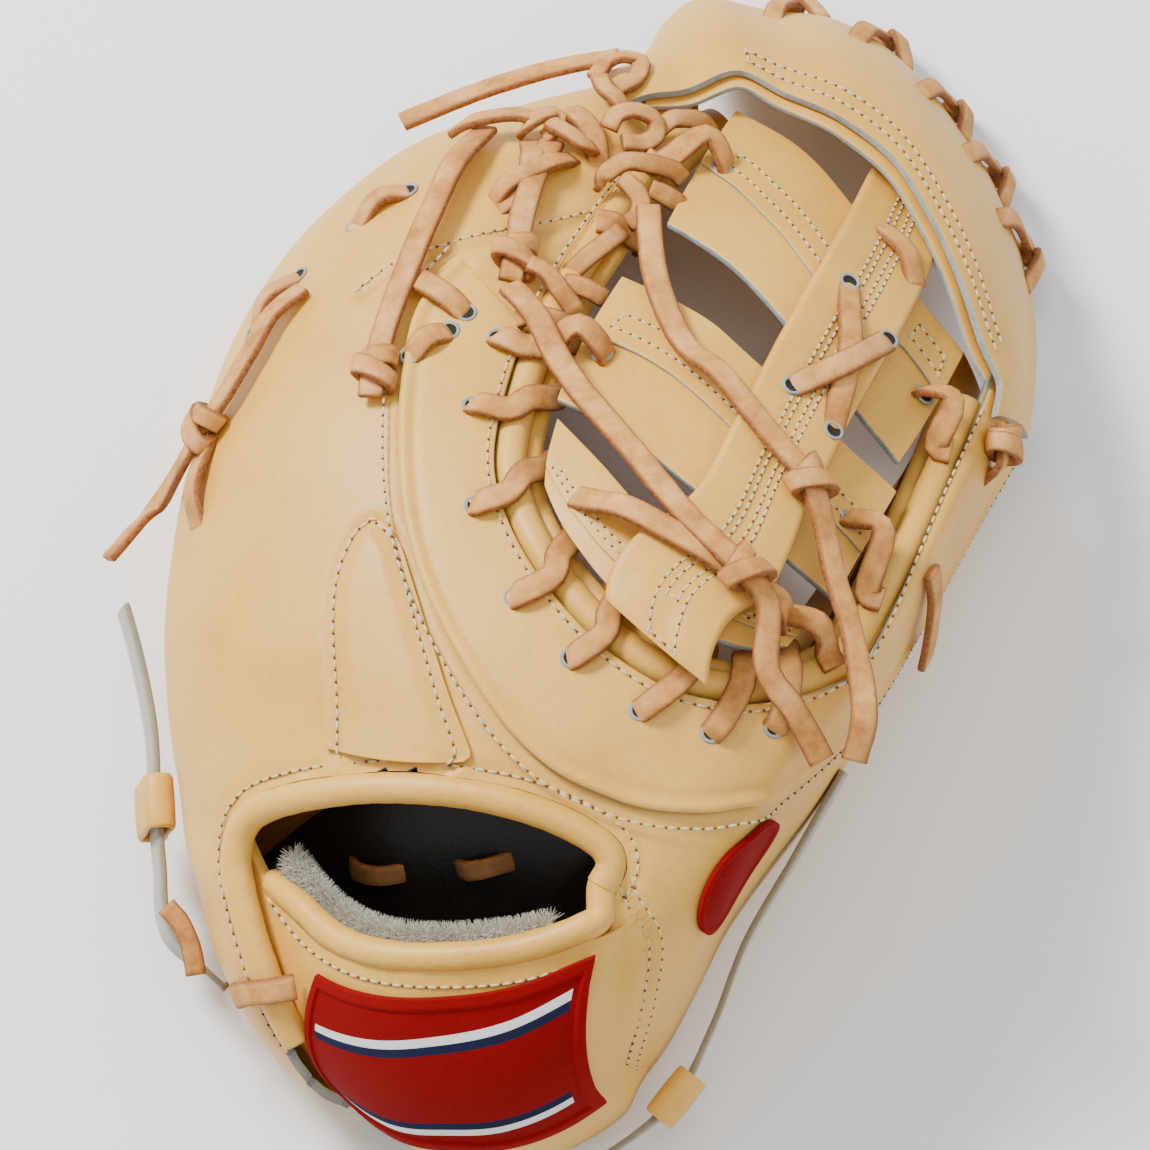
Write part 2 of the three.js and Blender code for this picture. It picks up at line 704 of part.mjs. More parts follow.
// The folded post over the bars, from its lower end up to the band:
// places on its left and right sides, then its height over the web's middle layer
const postTable = [
  [0.330, 0.228, 0.165, 0.430, 0.6], [0.523, 0.468, 0.438, 0.708, 0.4],
  [0.658, 0.506, 0.639, 0.722, 0.38], [0.776, 0.492, 0.770, 0.712, 0.38],
  [0.895, 0.468, 0.912, 0.703, 0.3], [0.985, 0.440, 0.985, 0.690, -0.27],
];
const postHeight = (u) => barThickness / 2 + rowAt(postTable, u)[4] * postThickness;
addPiece("web_post", slab({
  face: "web",
  region: between(postTable),
  steps: [14, 3],
  low: postHeight,
  high: (u) => postHeight(u) + postThickness,
}), "leather");

// The band over the web and the leather behind it, which shows inside its inner edge
addPiece("web_band", slab({
  face: "band",
  region: (u, v) => [u, v],
  steps: [24, 4],
  low: -bandThickness,
  high: 0,
}), "leather");
const bandLiningDrop = bandThickness + 2 * layerGap;
const bandLiningReach = { from: 0.09, to: 0.88, inner: -0.05, outer: 0.85 };
addPiece("web_band_lining", slab({
  face: "band",
  region: (u, v) => [
    THREE.MathUtils.lerp(bandLiningReach.from, bandLiningReach.to, u),
    THREE.MathUtils.lerp(bandLiningReach.inner, bandLiningReach.outer, v),
  ],
  steps: [20, 3],
  low: -(bandLiningDrop + bandLiningThickness),
  high: -bandLiningDrop,
}), "leather");

// One stop of a lace: on a face at two shares with a height over it, or free at shares of the sizes
function onFace(face, a, b, lift) {
  return { point: raised(face, a, b, lift + laceThickness / 2), look: normalOn(face, a, b) };
}
function free(x, y, z, look = [0, -0.3, 1]) {
  return { point: placeIn([x, y, z]), look: new THREE.Vector3(...look).normalize() };
}

// A route's rows are a face with two shares and a height, or the word free with three shares
function stopsOf(route) {
  return route.map(([place, ...numbers]) => (
    place === "free" ? free(...numbers) : onFace(place, ...numbers)
  ));
}

function laceStrip(stops, steps = stops.length + 3) {
  return strip(stops, laceWidth, laceThickness, steps);
}

// A turn of lace round a strand: the knot that holds it
const knotReach = { wide: laceWidth / 2 + 0.8, high: laceThickness };
function knotOn({ point, look }, heading) {
  const side = heading.clone().cross(look).normalize();
  const out = side.clone().cross(heading).normalize();
  const stops = Array.from({ length: 8 }, (unused, i) => {
    const turn = (Math.PI * i) / 4;
    const reach = side.clone().multiplyScalar(knotReach.wide * Math.cos(turn))
      .addScaledVector(out, knotReach.high * Math.sin(turn));
    return { point: point.clone().add(reach), look: reach.clone().normalize() };
  });
  return strip(stops, laceWidth, laceThickness, 6, true);
}

// A lace with knots at some of its stops, and shorter laces that cross it and are pulled tight with it
function knottedLace(route, knots, crossings = []) {
  const stops = stopsOf(route);
  const turns = knots.map((i) => {
    const before = stops[Math.max(i - 1, 0)].point;
    const after = stops[Math.min(i + 1, stops.length - 1)].point;
    return knotOn(stops[i], after.clone().sub(before).normalize());
  });
  const crossed = crossings.map((other) => laceStrip(stopsOf(other)));
  return joined([laceStrip(stops, 2 * stops.length), ...turns, ...crossed]);
}

// Stops over the two bindings and down into the notch, with turns from the leather's side inward
const laceGap = 0.5;
const overPanel = backBindingDrop + panelTop + laceGap + laceThickness / 2 + 0.6;
const overPalm = palmBindingRadius + laceGap + laceThickness / 2 + 0.6;
function overBindings(fromAlong, toAlong, turns, extra = 0) {
  return turns.map(([which, turn], i) => {
    const along = THREE.MathUtils.lerp(fromAlong, toAlong, Math.min(1, (i + 1) / (turns.length - 1)));
    const back = which === "back";
    const look = notchFrame(along).inward.multiplyScalar(Math.sin(turn)).addScaledVector(up, Math.cos(turn));
    const centre = back
      ? bindingCentre(along, backBindingIn, backBindingDrop)
      : bindingCentre(along, palmBindingIn, palmBindingDrop);
    return { point: centre.addScaledVector(look, extra + (back ? overPanel : overPalm)), look };
  });
}
const fullWrap = [["back", -0.3], ["back", 0.35], ["palm", 0.75], ["palm", 1.5], ["palm", 2.3]];

// Laces round the notch: the hole in the panel, along and down the body, and the place on the bindings
const notchLaces = [
  [0.223, 0.044, 0.190], [0.270, 0.046, 0.228], [0.340, 0.042, 0.292], [0.405, 0.048, 0.366],
  [0.456, 0.040, 0.422], [0.526, 0.040, 0.550], [0.604, 0.040, 0.634], [0.674, 0.042, 0.716],
];
function notchLace([holeAlong, holeDown, edgeAlong]) {
  return laceStrip([
    onFace("body", holeAlong, holeDown, panelTop + laceGap + 0.4),
    ...overBindings(holeAlong, edgeAlong, fullWrap),
  ], 10);
}

// Laces that tie the bars' ends over the bindings: the place along the notch, then rise and across on the web
const barLaces = {
  upper_left: [0.078, 0.900, 0.165],
  lower_left: [0.213, 0.665, 0.180],
  upper_right: [0.950, 0.870, 0.840],
  lower_right: [0.855, 0.675, 0.825, -0.5],
  base_right: [0.775, 0.480, 0.800],
};
const overBack = [["back", -0.3], ["back", 0.3]];
const overBar = barThickness / 2 + laceGap;
function barLace([along, rise, across, endLift = 2.6]) {
  const end = across < 0.5 ? 0 : 1;
  const near = THREE.MathUtils.lerp(end, across, 0.72);
  return laceStrip([
    ...overBindings(along, along, overBack, 0.6),
    onFace("web", rise, near, overBar + 6),
    onFace("web", rise, across, overBar + endLift),
  ], 10);
}

// The first notch lace shares its hole with the lace of a bar
notchLaces.forEach((places, i) => {
  const own = notchLace(places);
  addPiece(`notch_lace_${i + 1}`, i === 0 ? joined([own, barLace(barLaces.lower_left)]) : own, "lace");
});
["upper_left", "upper_right", "lower_right"].forEach((name) => (
  addPiece(`bar_lace_${name}`, barLace(barLaces[name]), "lace")
));

// Laces on the post and over the web, their heights over the web's middle layer
const overPost = barThickness / 2 + 0.4 * postThickness + postThickness + laceGap;
addPiece("bar_lace_base_right", joined([barLace(barLaces.base_right), laceStrip(stopsOf([
  ["web", 0.462, 0.695, overPost + 0.4], ["web", 0.462, 0.755, overBar + 5.4],
  ["web", 0.470, 0.810, overBar + 0.6],
]))]), "lace");
addPiece("post_lace_top", laceStrip(stopsOf([
  ["web", 0.927, 0.548, overPost - 0.7], ["web", 0.919, 0.619, overPost - 0.2],
  ["web", 0.912, 0.684, overPost - 0.7],
])), "lace");
addPiece("post_lace_cross", joined([
  laceStrip(stopsOf([
    ["web", 0.854, 0.552, overPost], ["web", 0.796, 0.630, overPost], ["web", 0.717, 0.691, overPost],
  ])),
  laceStrip(stopsOf([
    ["web", 0.722, 0.573, overPost], ["web", 0.776, 0.636, overPost + 0.8 * laceThickness],
    ["web", 0.845, 0.688, overPost],
  ])),
]), "lace");

// The two long web laces, each with its knot on the post
const overWeb = overBar + 2.5;
const knotLift = laceThickness + 0.4;
addPiece("web_lace_upper", knottedLace([
  ["web", 0.808, 0.115, overWeb + 2], ["web", 0.750, 0.210, overWeb], ["web", 0.700, 0.340, overWeb],
  ["web", 0.680, 0.430, overPost + 0.2], ["web", 0.662, 0.530, overPost + 0.5],
  ["web", 0.648, 0.610, overPost + knotLift / 2], ["web", 0.635, 0.685, overPost + knotLift],
  ["web", 0.616, 0.745, overPost + knotLift / 2], ["web", 0.575, 0.830, overPost - 1],
  ["web", 0.520, 0.915, overPost], ["free", 0.300, -0.160, 0.935], ["free", 0.290, -0.186, 0.872],
], [6]), "lace");
addPiece("web_lace_lower", knottedLace([
  ["body", 0.202, 0.060, panelTop + 4.5], ["web", 0.660, 0.030, overWeb + 5.2],
  ["web", 0.619, 0.141, overWeb + 2], ["web", 0.560, 0.330, overWeb + 3],
  ["web", 0.500, 0.480, overPost + 1.4],
  ["web", 0.443, 0.631, overPost + knotLift + 1.2], ["web", 0.405, 0.700, overPost + 2.8],
  ["free", 0.198, -0.130, 1.010], ["free", 0.228, -0.158, 0.955], ["free", 0.256, -0.188, 0.890],
], [5], [[
  ["web", 0.488, 0.220, overBar + 0.3], ["web", 0.478, 0.290, overBar + 3],
  ["web", 0.470, 0.350, overPost + 0.8],
  ["web", 0.462, 0.440, overPost + 1.2], ["web", 0.450, 0.560, overPost + 1.6],
  ["web", 0.445, 0.615, overPost + knotLift + 0.6],
]]), "lace");

// Laces over the outer edge of the band: their places along it
const rimPlaces = [0.400, 0.515, 0.612, 0.694, 0.772];
function rimLace(along) {
  const slant = 0.026;
  const out = faces.band.at(along, 1).sub(faces.band.at(along, 0.97)).normalize();
  const look = normalOn("band", along, 0.97);
  const edge = raised("band", along, 1, -bandThickness / 2);
  const reach = bandThickness / 2 + laceGap + laceThickness / 2 + 1.4;
  const wrapGap = 1.5 * laceGap;
  const round = (turn) => {
    const way = out.clone().multiplyScalar(Math.cos(turn)).addScaledVector(look, Math.sin(turn));
    return { point: edge.clone().addScaledVector(way, reach), look: way };
  };
  const under = -(bandThickness + 2 * laceGap + laceThickness);
  return laceStrip([
    onFace("band", along - slant, 0.45, wrapGap),
    onFace("band", along - slant / 2, 0.72, 2 * wrapGap),
    onFace("band", along - slant / 6, 0.92, 2 * laceGap),
    round(1.3), round(0.5), round(-0.5), round(-1.3),
    { ...onFace("band", along + slant, 0.93, under), look: look.clone().negate() },
  ], 10);
}
rimPlaces.forEach((along, i) => addPiece(`rim_lace_${i + 1}`, rimLace(along), "lace"));

// Laces of the finger tip, their heights over the back leather: the lace, its knot and what crosses it
addPiece("tip_lace_long", knottedLace([
  ["body", 0.148, 0.387, 2.5], ["body", 0.175, 0.320, 5], ["body", 0.205, 0.260, 5.5],
  ["body", 0.237, 0.228, 4.5], ["body", 0.262, 0.218, 3.4], ["body", 0.278, 0.212, 3],
  ["body", 0.292, 0.207, 2.4],
], [5], [[
  ["body", 0.229, 0.260, laceGap + 0.3], ["body", 0.228, 0.205, panelTop + 0.8],
  ["body", 0.226, 0.150, panelTop + laceGap + 0.4], ["body", 0.224, 0.112, panelTop + laceGap],
], [
  ["body", 0.232, 0.250, laceGap + 0.8], ["body", 0.233, 0.228, 4.2],
]]), "lace");
addPiece("seam_lace", laceStrip(stopsOf([
  ["body", 0.262, 0.168, panelTop + laceGap + 0.2], ["body", 0.250, 0.148, panelTop + 0.9],
  ["body", 0.238, 0.124, panelTop + laceGap],
])), "lace");
addPiece("tip_lace_short", knottedLace([
  ["body", 0.120, 0.250, 0.3], ["body", 0.140, 0.190, 3.2], ["body", 0.165, 0.128, 4],
  ["body", 0.182, 0.090, 3.2], ["body", 0.194, 0.070, 2.6],
], [3], [[
  ["body", 0.168, 0.200, laceGap + 0.4], ["body", 0.152, 0.175, 2.4], ["body", 0.137, 0.230, 2.4],
  ["body", 0.127, 0.320, laceGap + 0.4],
]]), "lace");
addPiece("tip_lace_side", laceStrip(stopsOf([
  ["body", 0.104, 0.400, 0.3], ["body", 0.100, 0.300, 1.5], ["body", 0.098, 0.180, 1.5],
  ["body", 0.100, 0.100, 0.3],
])), "lace");
const outUp = [0, 0.5, 0.8];
addPiece("tip_lace_free", laceStrip(stopsOf([
  ["free", 0.047, 0.451, 0.450, outUp], ["free", -0.017, 0.450, 0.400, outUp],
  ["free", -0.108, 0.432, 0.380, outUp], ["free", -0.196, 0.406, 0.370, outUp],
])), "lace");
addPiece("notch_lace_tip", laceStrip(overBindings(0.128, 0.118, fullWrap), 8), "lace");

// Laces of the finger side
addPiece("pinky_lace_upper", laceStrip(stopsOf([
  ["body", 0.222, 0.444, laceGap], ["body", 0.208, 0.425, 1.2], ["body", 0.197, 0.399, laceGap],
])), "lace");
addPiece("pinky_lace_middle", laceStrip(stopsOf([
  ["body", 0.275, 0.560, laceGap], ["body", 0.262, 0.530, 1.2], ["body", 0.249, 0.495, laceGap],
])), "lace");
const outSide = [-1, 0, 0.5];
addPiece("pinky_lace_tail", knottedLace([
  ["body", 0.255, 0.440, 0.3], ["body", 0.270, 0.462, 3], ["body", 0.288, 0.480, 3.2],
  ["body", 0.306, 0.520, 3], ["body", 0.314, 0.560, 3], ["body", 0.326, 0.610, 3],
  ["free", -0.462, 0.078, 0.365, outSide], ["free", -0.488, 0.056, 0.365, outSide],
  ["free", -0.515, 0.032, 0.365, outSide],
], [4], [[
  ["body", 0.352, 0.570, 0.3], ["body", 0.338, 0.570, 1.6], ["body", 0.320, 0.565, 3],
]]), "lace");

// Lace over the opening's roll at the heel
addPiece("heel_lace", laceStrip(stopsOf([
  ["body", 0.522, 0.740, laceGap], ["body", 0.526, 0.690, 1.6], ["body", 0.530, 0.640, 2.8],
  ["body", 0.537, 0.590, 2.4], ["body", 0.542, 0.566, 1],
]), 9), "lace");

// Laces of the thumb side
addPiece("thumb_lace_knotted", knottedLace([
  ["body", 0.968, 0.150, panelTop + 2.8], ["body", 0.963, 0.200, panelTop + 3.1],
  ["body", 0.957, 0.300, panelTop + 2.4], ["body", 0.950, 0.420, panelTop + 0.3],
], [1]), "lace");
addPiece("thumb_lace_free", laceStrip(stopsOf([
  ["body", 0.885, 0.130, panelTop + 0.3], ["body", 0.878, 0.300, panelTop + 1.6],
  ["body", 0.868, 0.480, panelTop + 3], ["body", 0.862, 0.640, panelTop + 3.5],
])), "lace");

// Suede adjusting straps on both sides, each with a leather keeper round it
const pinkyStrap = stopsOf([
  ["free", -0.502, 0.003, 0.250, [-1, 0, 0.25]], ["free", -0.485, -0.040, 0.240, [-1, 0, 0.25]],
  ["free", -0.468, -0.100, 0.235, [-1, 0, 0.25]], ["free", -0.462, -0.160, 0.235, [-1, -0.1, 0.25]],
  ["free", -0.456, -0.205, 0.225, [-1, -0.2, 0.25]], ["free", -0.445, -0.260, 0.205, [-1, -0.3, 0.25]],
  ["body", 0.508, 0.860, 0.5],
]);
const thumbStrap = stopsOf([
  ["body", 0.815, 0.800, -0.1], ["body", 0.780, 0.820, 2.2], ["body", 0.745, 0.825, 4.5],
  ["body", 0.715, 0.825, 6.5], ["body", 0.692, 0.830, 8.2], ["body", 0.668, 0.845, 8.2],
  ["body", 0.650, 0.860, 7],
]);
addPiece("pinky_strap", strip(pinkyStrap, adjustWidth, adjustThickness, 12), "suede");
addPiece("thumb_strap", strip(thumbStrap, adjustWidth, adjustThickness, 12), "suede");

// A keeper: a band of leather round a strap at one of its stops
const keeperWidth = 14;
const keeperRoom = 0.75;
function keeper(stops, i) {
  const heading = stops[i + 1].point.clone().sub(stops[i - 1].point).normalize();
  const out = stops[i].look.clone().projectOnPlane(heading).normalize();
  const side = heading.clone().cross(out).normalize();
  const wide = adjustWidth / 2 + keeperRoom + keeperThickness / 2;
  const high = adjustThickness / 2 + keeperRoom + keeperThickness / 2;
  const corners = [[-1, -1], [0, -1.1], [1, -1], [1, 1], [0, 1.1], [-1, 1]];
  return strip(corners.map(([a, b]) => {
    const reach = side.clone().multiplyScalar(a * wide).addScaledVector(out, b * high);
    return { point: stops[i].point.clone().add(reach), look: reach.clone().normalize() };
  }), keeperWidth, keeperThickness, 12, true);
}
addPiece("pinky_keeper", keeper(pinkyStrap, 3), "leather");
addPiece("thumb_keeper", keeper(thumbStrap, 4), "leather");

// The origin is at the middle of the floor of the mitt's box, its free laces left out
const freeLaces = [
  "web_lace_upper", "web_lace_lower", "tip_lace_long", "tip_lace_short", "tip_lace_free", "pinky_lace_tail",
];
const box = new THREE.Box3();
pieces.children
  .filter((piece) => !freeLaces.includes(piece.name))
  .forEach((piece) => box.expandByObject(piece, true));
pieces.position.set(-(box.min.x + box.max.x) / 2, -(box.min.y + box.max.y) / 2, -box.min.z);

export default mitt;
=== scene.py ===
# First baseman's mitt: the looks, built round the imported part
import math

import bmesh
import bpy
import numpy as np
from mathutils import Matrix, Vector


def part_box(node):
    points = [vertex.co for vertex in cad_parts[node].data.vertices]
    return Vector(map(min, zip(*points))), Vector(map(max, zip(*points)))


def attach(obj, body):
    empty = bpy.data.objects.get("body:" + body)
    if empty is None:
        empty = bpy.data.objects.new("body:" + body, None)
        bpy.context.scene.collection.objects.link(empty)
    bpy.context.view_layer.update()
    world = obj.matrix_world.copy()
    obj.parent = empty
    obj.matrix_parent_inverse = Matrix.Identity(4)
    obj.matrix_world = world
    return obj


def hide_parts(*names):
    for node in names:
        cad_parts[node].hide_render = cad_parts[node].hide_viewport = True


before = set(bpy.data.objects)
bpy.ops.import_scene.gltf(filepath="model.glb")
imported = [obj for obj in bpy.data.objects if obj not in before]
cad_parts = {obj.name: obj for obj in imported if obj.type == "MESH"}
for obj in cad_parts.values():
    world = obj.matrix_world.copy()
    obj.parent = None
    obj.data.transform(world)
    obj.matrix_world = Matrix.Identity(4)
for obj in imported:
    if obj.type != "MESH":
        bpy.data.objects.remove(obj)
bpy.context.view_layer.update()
chance = np.random.default_rng(7)
print("frame loaded")

# Sizes in millimetres, shares of width, length and depth, as in the part's source
mittSize = np.array([230.0, 320.0, 115.0])
thickness = {"back": 2.4, "palm": 4.5, "liner": 1.2, "panel": 1.6, "pad": 1.2, "strap": 3.2, "fleece": 2.4,
             "patch": 1.2, "band": 2.2, "bandLining": 1.6, "bar": 3.0, "post": 5.0, "keeper": 1.8,
             "adjust": 1.8}
lace = {"width": 6.4, "thick": 2.2, "gap": 0.5}
rollRadius = {"back": 3.1, "palm": 2.6, "opening": 3.1, "strap": 2.8}
fitGap, layerGap, restFlat, wideAt, bodySteps = 0.3, 0.6, 1.0, 0.78, 42
crotchAt, webRise, webEndRise, webReach, bandRoundness, thumbRoom = 0.6, 12.0, 1.0, 15.0, 0.55, 14.0

# Notch edge, widest place, rim (x, y, z each), then how full the palm is
bodyTable = np.array([
    [0.150, 0.425, 0.40, 0.140, 0.462, 0.30, 0.142, 0.450, 0.07, 1.10],
    [0.085, 0.365, 0.52, 0.040, 0.444, 0.30, 0.045, 0.425, 0.03, 1.10],
    [0.015, 0.276, 0.66, -0.086, 0.416, 0.30, -0.075, 0.395, 0.00, 1.12],
    [-0.042, 0.187, 0.77, -0.216, 0.371, 0.31, -0.200, 0.352, 0.00, 1.15],
    [-0.076, 0.103, 0.84, -0.349, 0.263, 0.33, -0.325, 0.250, 0.00, 1.15],
    [-0.084, 0.033, 0.89, -0.421, 0.125, 0.35, -0.395, 0.122, 0.00, 1.20],
    [-0.050, -0.035, 0.92, -0.450, -0.019, 0.37, -0.424, -0.015, 0.00, 1.30],
    [0.014, -0.096, 0.94, -0.432, -0.152, 0.38, -0.408, -0.140, 0.00, 1.45],
    [0.080, -0.132, 0.94, -0.387, -0.289, 0.38, -0.360, -0.262, 0.00, 1.55],
    [0.135, -0.144, 0.925, -0.298, -0.384, 0.37, -0.268, -0.345, 0.00, 1.60],
    [0.182, -0.146, 0.905, -0.101, -0.442, 0.35, -0.096, -0.400, 0.00, 1.60],
    [0.228, -0.138, 0.88, 0.070, -0.382, 0.35, 0.066, -0.345, 0.00, 1.55],
    [0.265, -0.126, 0.85, 0.173, -0.255, 0.37, 0.160, -0.232, 0.00, 1.40],
    [0.298, -0.106, 0.82, 0.287, -0.142, 0.37, 0.270, -0.122, 0.00, 1.20],
    [0.352, -0.030, 0.735, 0.369, -0.032, 0.33, 0.350, -0.020, 0.00, 1.10],
    [0.405, 0.060, 0.63, 0.437, 0.064, 0.30, 0.418, 0.072, 0.02, 1.10],
    [0.472, 0.199, 0.43, 0.492, 0.141, 0.23, 0.478, 0.150, 0.07, 1.10],
])
# Inner edge of the band, then its outer edge
bandTable = np.array([
    [0.036, 0.388, 0.554, 0.038, 0.436, 0.47], [0.079, 0.403, 0.546, 0.078, 0.470, 0.34],
    [0.125, 0.411, 0.530, 0.105, 0.525, 0.19], [0.182, 0.426, 0.540, 0.147, 0.558, 0.10],
    [0.236, 0.404, 0.555, 0.221, 0.549, 0.085], [0.299, 0.377, 0.585, 0.303, 0.542, 0.08],
    [0.356, 0.342, 0.585, 0.382, 0.504, 0.08], [0.396, 0.293, 0.585, 0.448, 0.442, 0.08],
    [0.427, 0.239, 0.585, 0.497, 0.375, 0.08], [0.450, 0.187, 0.570, 0.526, 0.288, 0.095],
    [0.469, 0.156, 0.550, 0.524, 0.213, 0.19], [0.462, 0.127, 0.560, 0.506, 0.136, 0.34],
])


def rowAt(table, share):  # smooth row of a table at shares of its length
    table = np.asarray(table, float)
    share = np.clip(np.asarray(share, float), 0, 1)
    last = len(table) - 1
    place = share * last
    i = np.minimum(np.floor(place).astype(int), last - 1)
    f = (place - i)[..., None]
    here, after = table[i], table[i + 1]
    before = np.where((i > 0)[..., None], table[np.maximum(i - 1, 0)], 2 * here - after)
    beyond = np.where((i + 2 <= last)[..., None], table[np.minimum(i + 2, last)], 2 * after - here)
    bend = 2 * before - 5 * here + 4 * after - beyond
    twist = 3 * here - before - 3 * after + beyond
    return here + 0.5 * f * (after - before + f * (bend + f * twist))


def unit(v):
    return v / np.maximum(np.linalg.norm(v, axis=-1, keepdims=True), 1e-9)


def bodyPoint(along, down):
    along, down = np.broadcast_arrays(np.asarray(along, float), np.asarray(down, float))
    row = rowAt(bodyTable, along)
    edge, wide, rim = row[..., 0:3] * mittSize, row[..., 3:6] * mittSize, row[..., 6:9] * mittSize
    over = (np.pi / 2 * np.minimum(down / wideAt, 1))[..., None]
    under = (np.pi / 2 * np.clip((down - wideAt) / (1 - wideAt), 0, 1))[..., None]
    point = edge + (wide - edge) * np.sin(over)
    point[..., 2:] = wide[..., 2:] + (edge - wide)[..., 2:] * np.cos(over)
    curl = rim - wide
    point[..., :2] += curl[..., :2] * (1 - np.cos(under))
    point[..., 2:] += curl[..., 2:] * np.sin(under)
    return point


def notchFrame(along):
    def edgeAt(share):
        return rowAt(bodyTable, share)[..., 0:3] * mittSize
    along = np.asarray(along, float)
    heading = edgeAt(np.minimum(along + 0.01, 1)) - edgeAt(np.maximum(along - 0.01, 0))
    heading[..., 2] = 0
    heading = unit(heading)
    inward = np.stack([-heading[..., 1], heading[..., 0], 0 * heading[..., 0]], -1)
    return edgeAt(along), heading, inward


binding = {
    "in": rollRadius["back"] + 2 * layerGap, "drop": 1.0,
    "step": rollRadius["back"] + rollRadius["palm"] + fitGap,
}
palmBindingIn = binding["in"] + binding["step"] * 0.8
palmBindingDrop = binding["drop"] + binding["step"] * 0.6
palmEdgeDrop = palmBindingDrop + rollRadius["palm"] + layerGap


def palmPoint(along, down):
    along, down = np.broadcast_arrays(np.asarray(along, float), np.asarray(down, float))
    row = rowAt(bodyTable, along)
    edge, _, inward = notchFrame(along)
    start = edge + inward * palmBindingIn
    start[..., 2] -= palmEdgeDrop
    end = row[..., 6:9] * mittSize + inward * layerGap
    over = np.pi / 2 * np.clip(down, 0, 1)
    point = start + (end - start) * np.sin(over)[..., None]
    point[..., 2] = end[..., 2] + (start - end)[..., 2] * np.maximum(np.cos(over), 0) ** row[..., 9]
    ofThumb = np.clip((along - crotchAt) / (1 - crotchAt), 0, 1)
    belly = np.sin(np.pi * np.clip(down, 0, 1)) ** 2
    return point + inward * (thumbRoom * np.sin(np.pi * ofThumb) * belly)[..., None]


def webPoint(rise, across):
    rise, across = np.broadcast_arrays(np.asarray(rise, float), np.asarray(across, float))
    left, right = bodyPoint(crotchAt * (1 - rise), 0), bodyPoint(crotchAt + (1 - crotchAt) * rise, 0)
    chord = right - left
    outward = unit(np.stack([-chord[..., 1], chord[..., 0], 0 * chord[..., 0]], -1))
    arch = np.sin(np.pi * across)
    point = left + chord * across[..., None] + outward * (arch * webReach * rise ** 2)[..., None]
    point[..., 2] += arch * (webEndRise + webRise * np.sin(np.pi * rise))
    return point


def bandPoint(along, down):
    along, down = np.broadcast_arrays(np.asarray(along, float), np.asarray(down, float))
    row = rowAt(bandTable, along)
    inner, outer = row[..., 0:3] * mittSize, row[..., 3:6] * mittSize
    turn = (np.pi / 2 * down)[..., None]
    curved = inner + (outer - inner) * np.sin(turn)
    curved[..., 2:] = outer[..., 2:] + (inner - outer)[..., 2:] * np.cos(turn)
    straight = inner + (outer - inner) * down[..., None]
    return straight + (curved - straight) * bandRoundness


faces = {"body": (bodyPoint, 1), "palm": (palmPoint, 1), "web": (webPoint, 1), "band": (bandPoint, -1)}


def normalOn(face, a, b):
    at, outward = faces[face]
    a, b = np.broadcast_arrays(np.asarray(a, float), np.asarray(b, float))
    acrossA = at(np.minimum(a + 0.002, 1), b) - at(np.maximum(a - 0.002, 0), b)
    acrossB = at(a, np.minimum(b + 0.002, 1)) - at(a, b - 0.002)
    return unit(np.cross(acrossB, acrossA) * outward)


def raised(face, a, b, lift):
    return faces[face][0](a, b) + normalOn(face, a, b) * np.asarray(lift, float)[..., None]


def bindingCentre(along, aside, drop):
    edge, _, inward = notchFrame(along)
    return edge + inward * aside - np.array([0, 0, drop])


# The part's shift to its origin, from the palm binding's lowest corner
ringTurns = 2 * np.pi * np.arange(6) / 6
bindingRings = np.array([
    bindingCentre(i / bodySteps, palmBindingIn, palmBindingDrop)
    + rollRadius["palm"] * (notchFrame(i / bodySteps)[2] * np.cos(t) + np.array([0, 0, np.sin(t)]))
    for i in range(1, bodySteps) for t in ringTurns])
shift = np.array(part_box("palm_binding")[0]) * 1000 - bindingRings.min(axis=0)
print("shift in mm", shift.round(3).tolist())


def toMetres(points):
    return (np.asarray(points, float) + shift) / 1000


def newObject(name, data):
    made = bpy.data.objects.new(name, data)
    bpy.context.collection.objects.link(made)
    return made


# Camera at the photograph's angle
camera = {"elevation": math.radians(72), "distance": 1300.0, "target": np.array([0.0, 0.0, 60.0]),
          "focal": 5200.0, "photoWidth": 1150, "sensor": 36}
lookDown = camera["elevation"]
eye = camera["target"] + camera["distance"] * np.array([0, -math.cos(lookDown), math.sin(lookDown)])
cameraData = bpy.data.cameras.new("camera")
cameraData.sensor_width = camera["sensor"]
cameraData.lens = camera["sensor"] * camera["focal"] / camera["photoWidth"]
cameraObject = newObject("camera", cameraData)
cameraObject.location = toMetres(eye)
cameraObject.rotation_euler = (math.pi / 2 - lookDown, 0, 0)
bpy.context.scene.camera = cameraObject

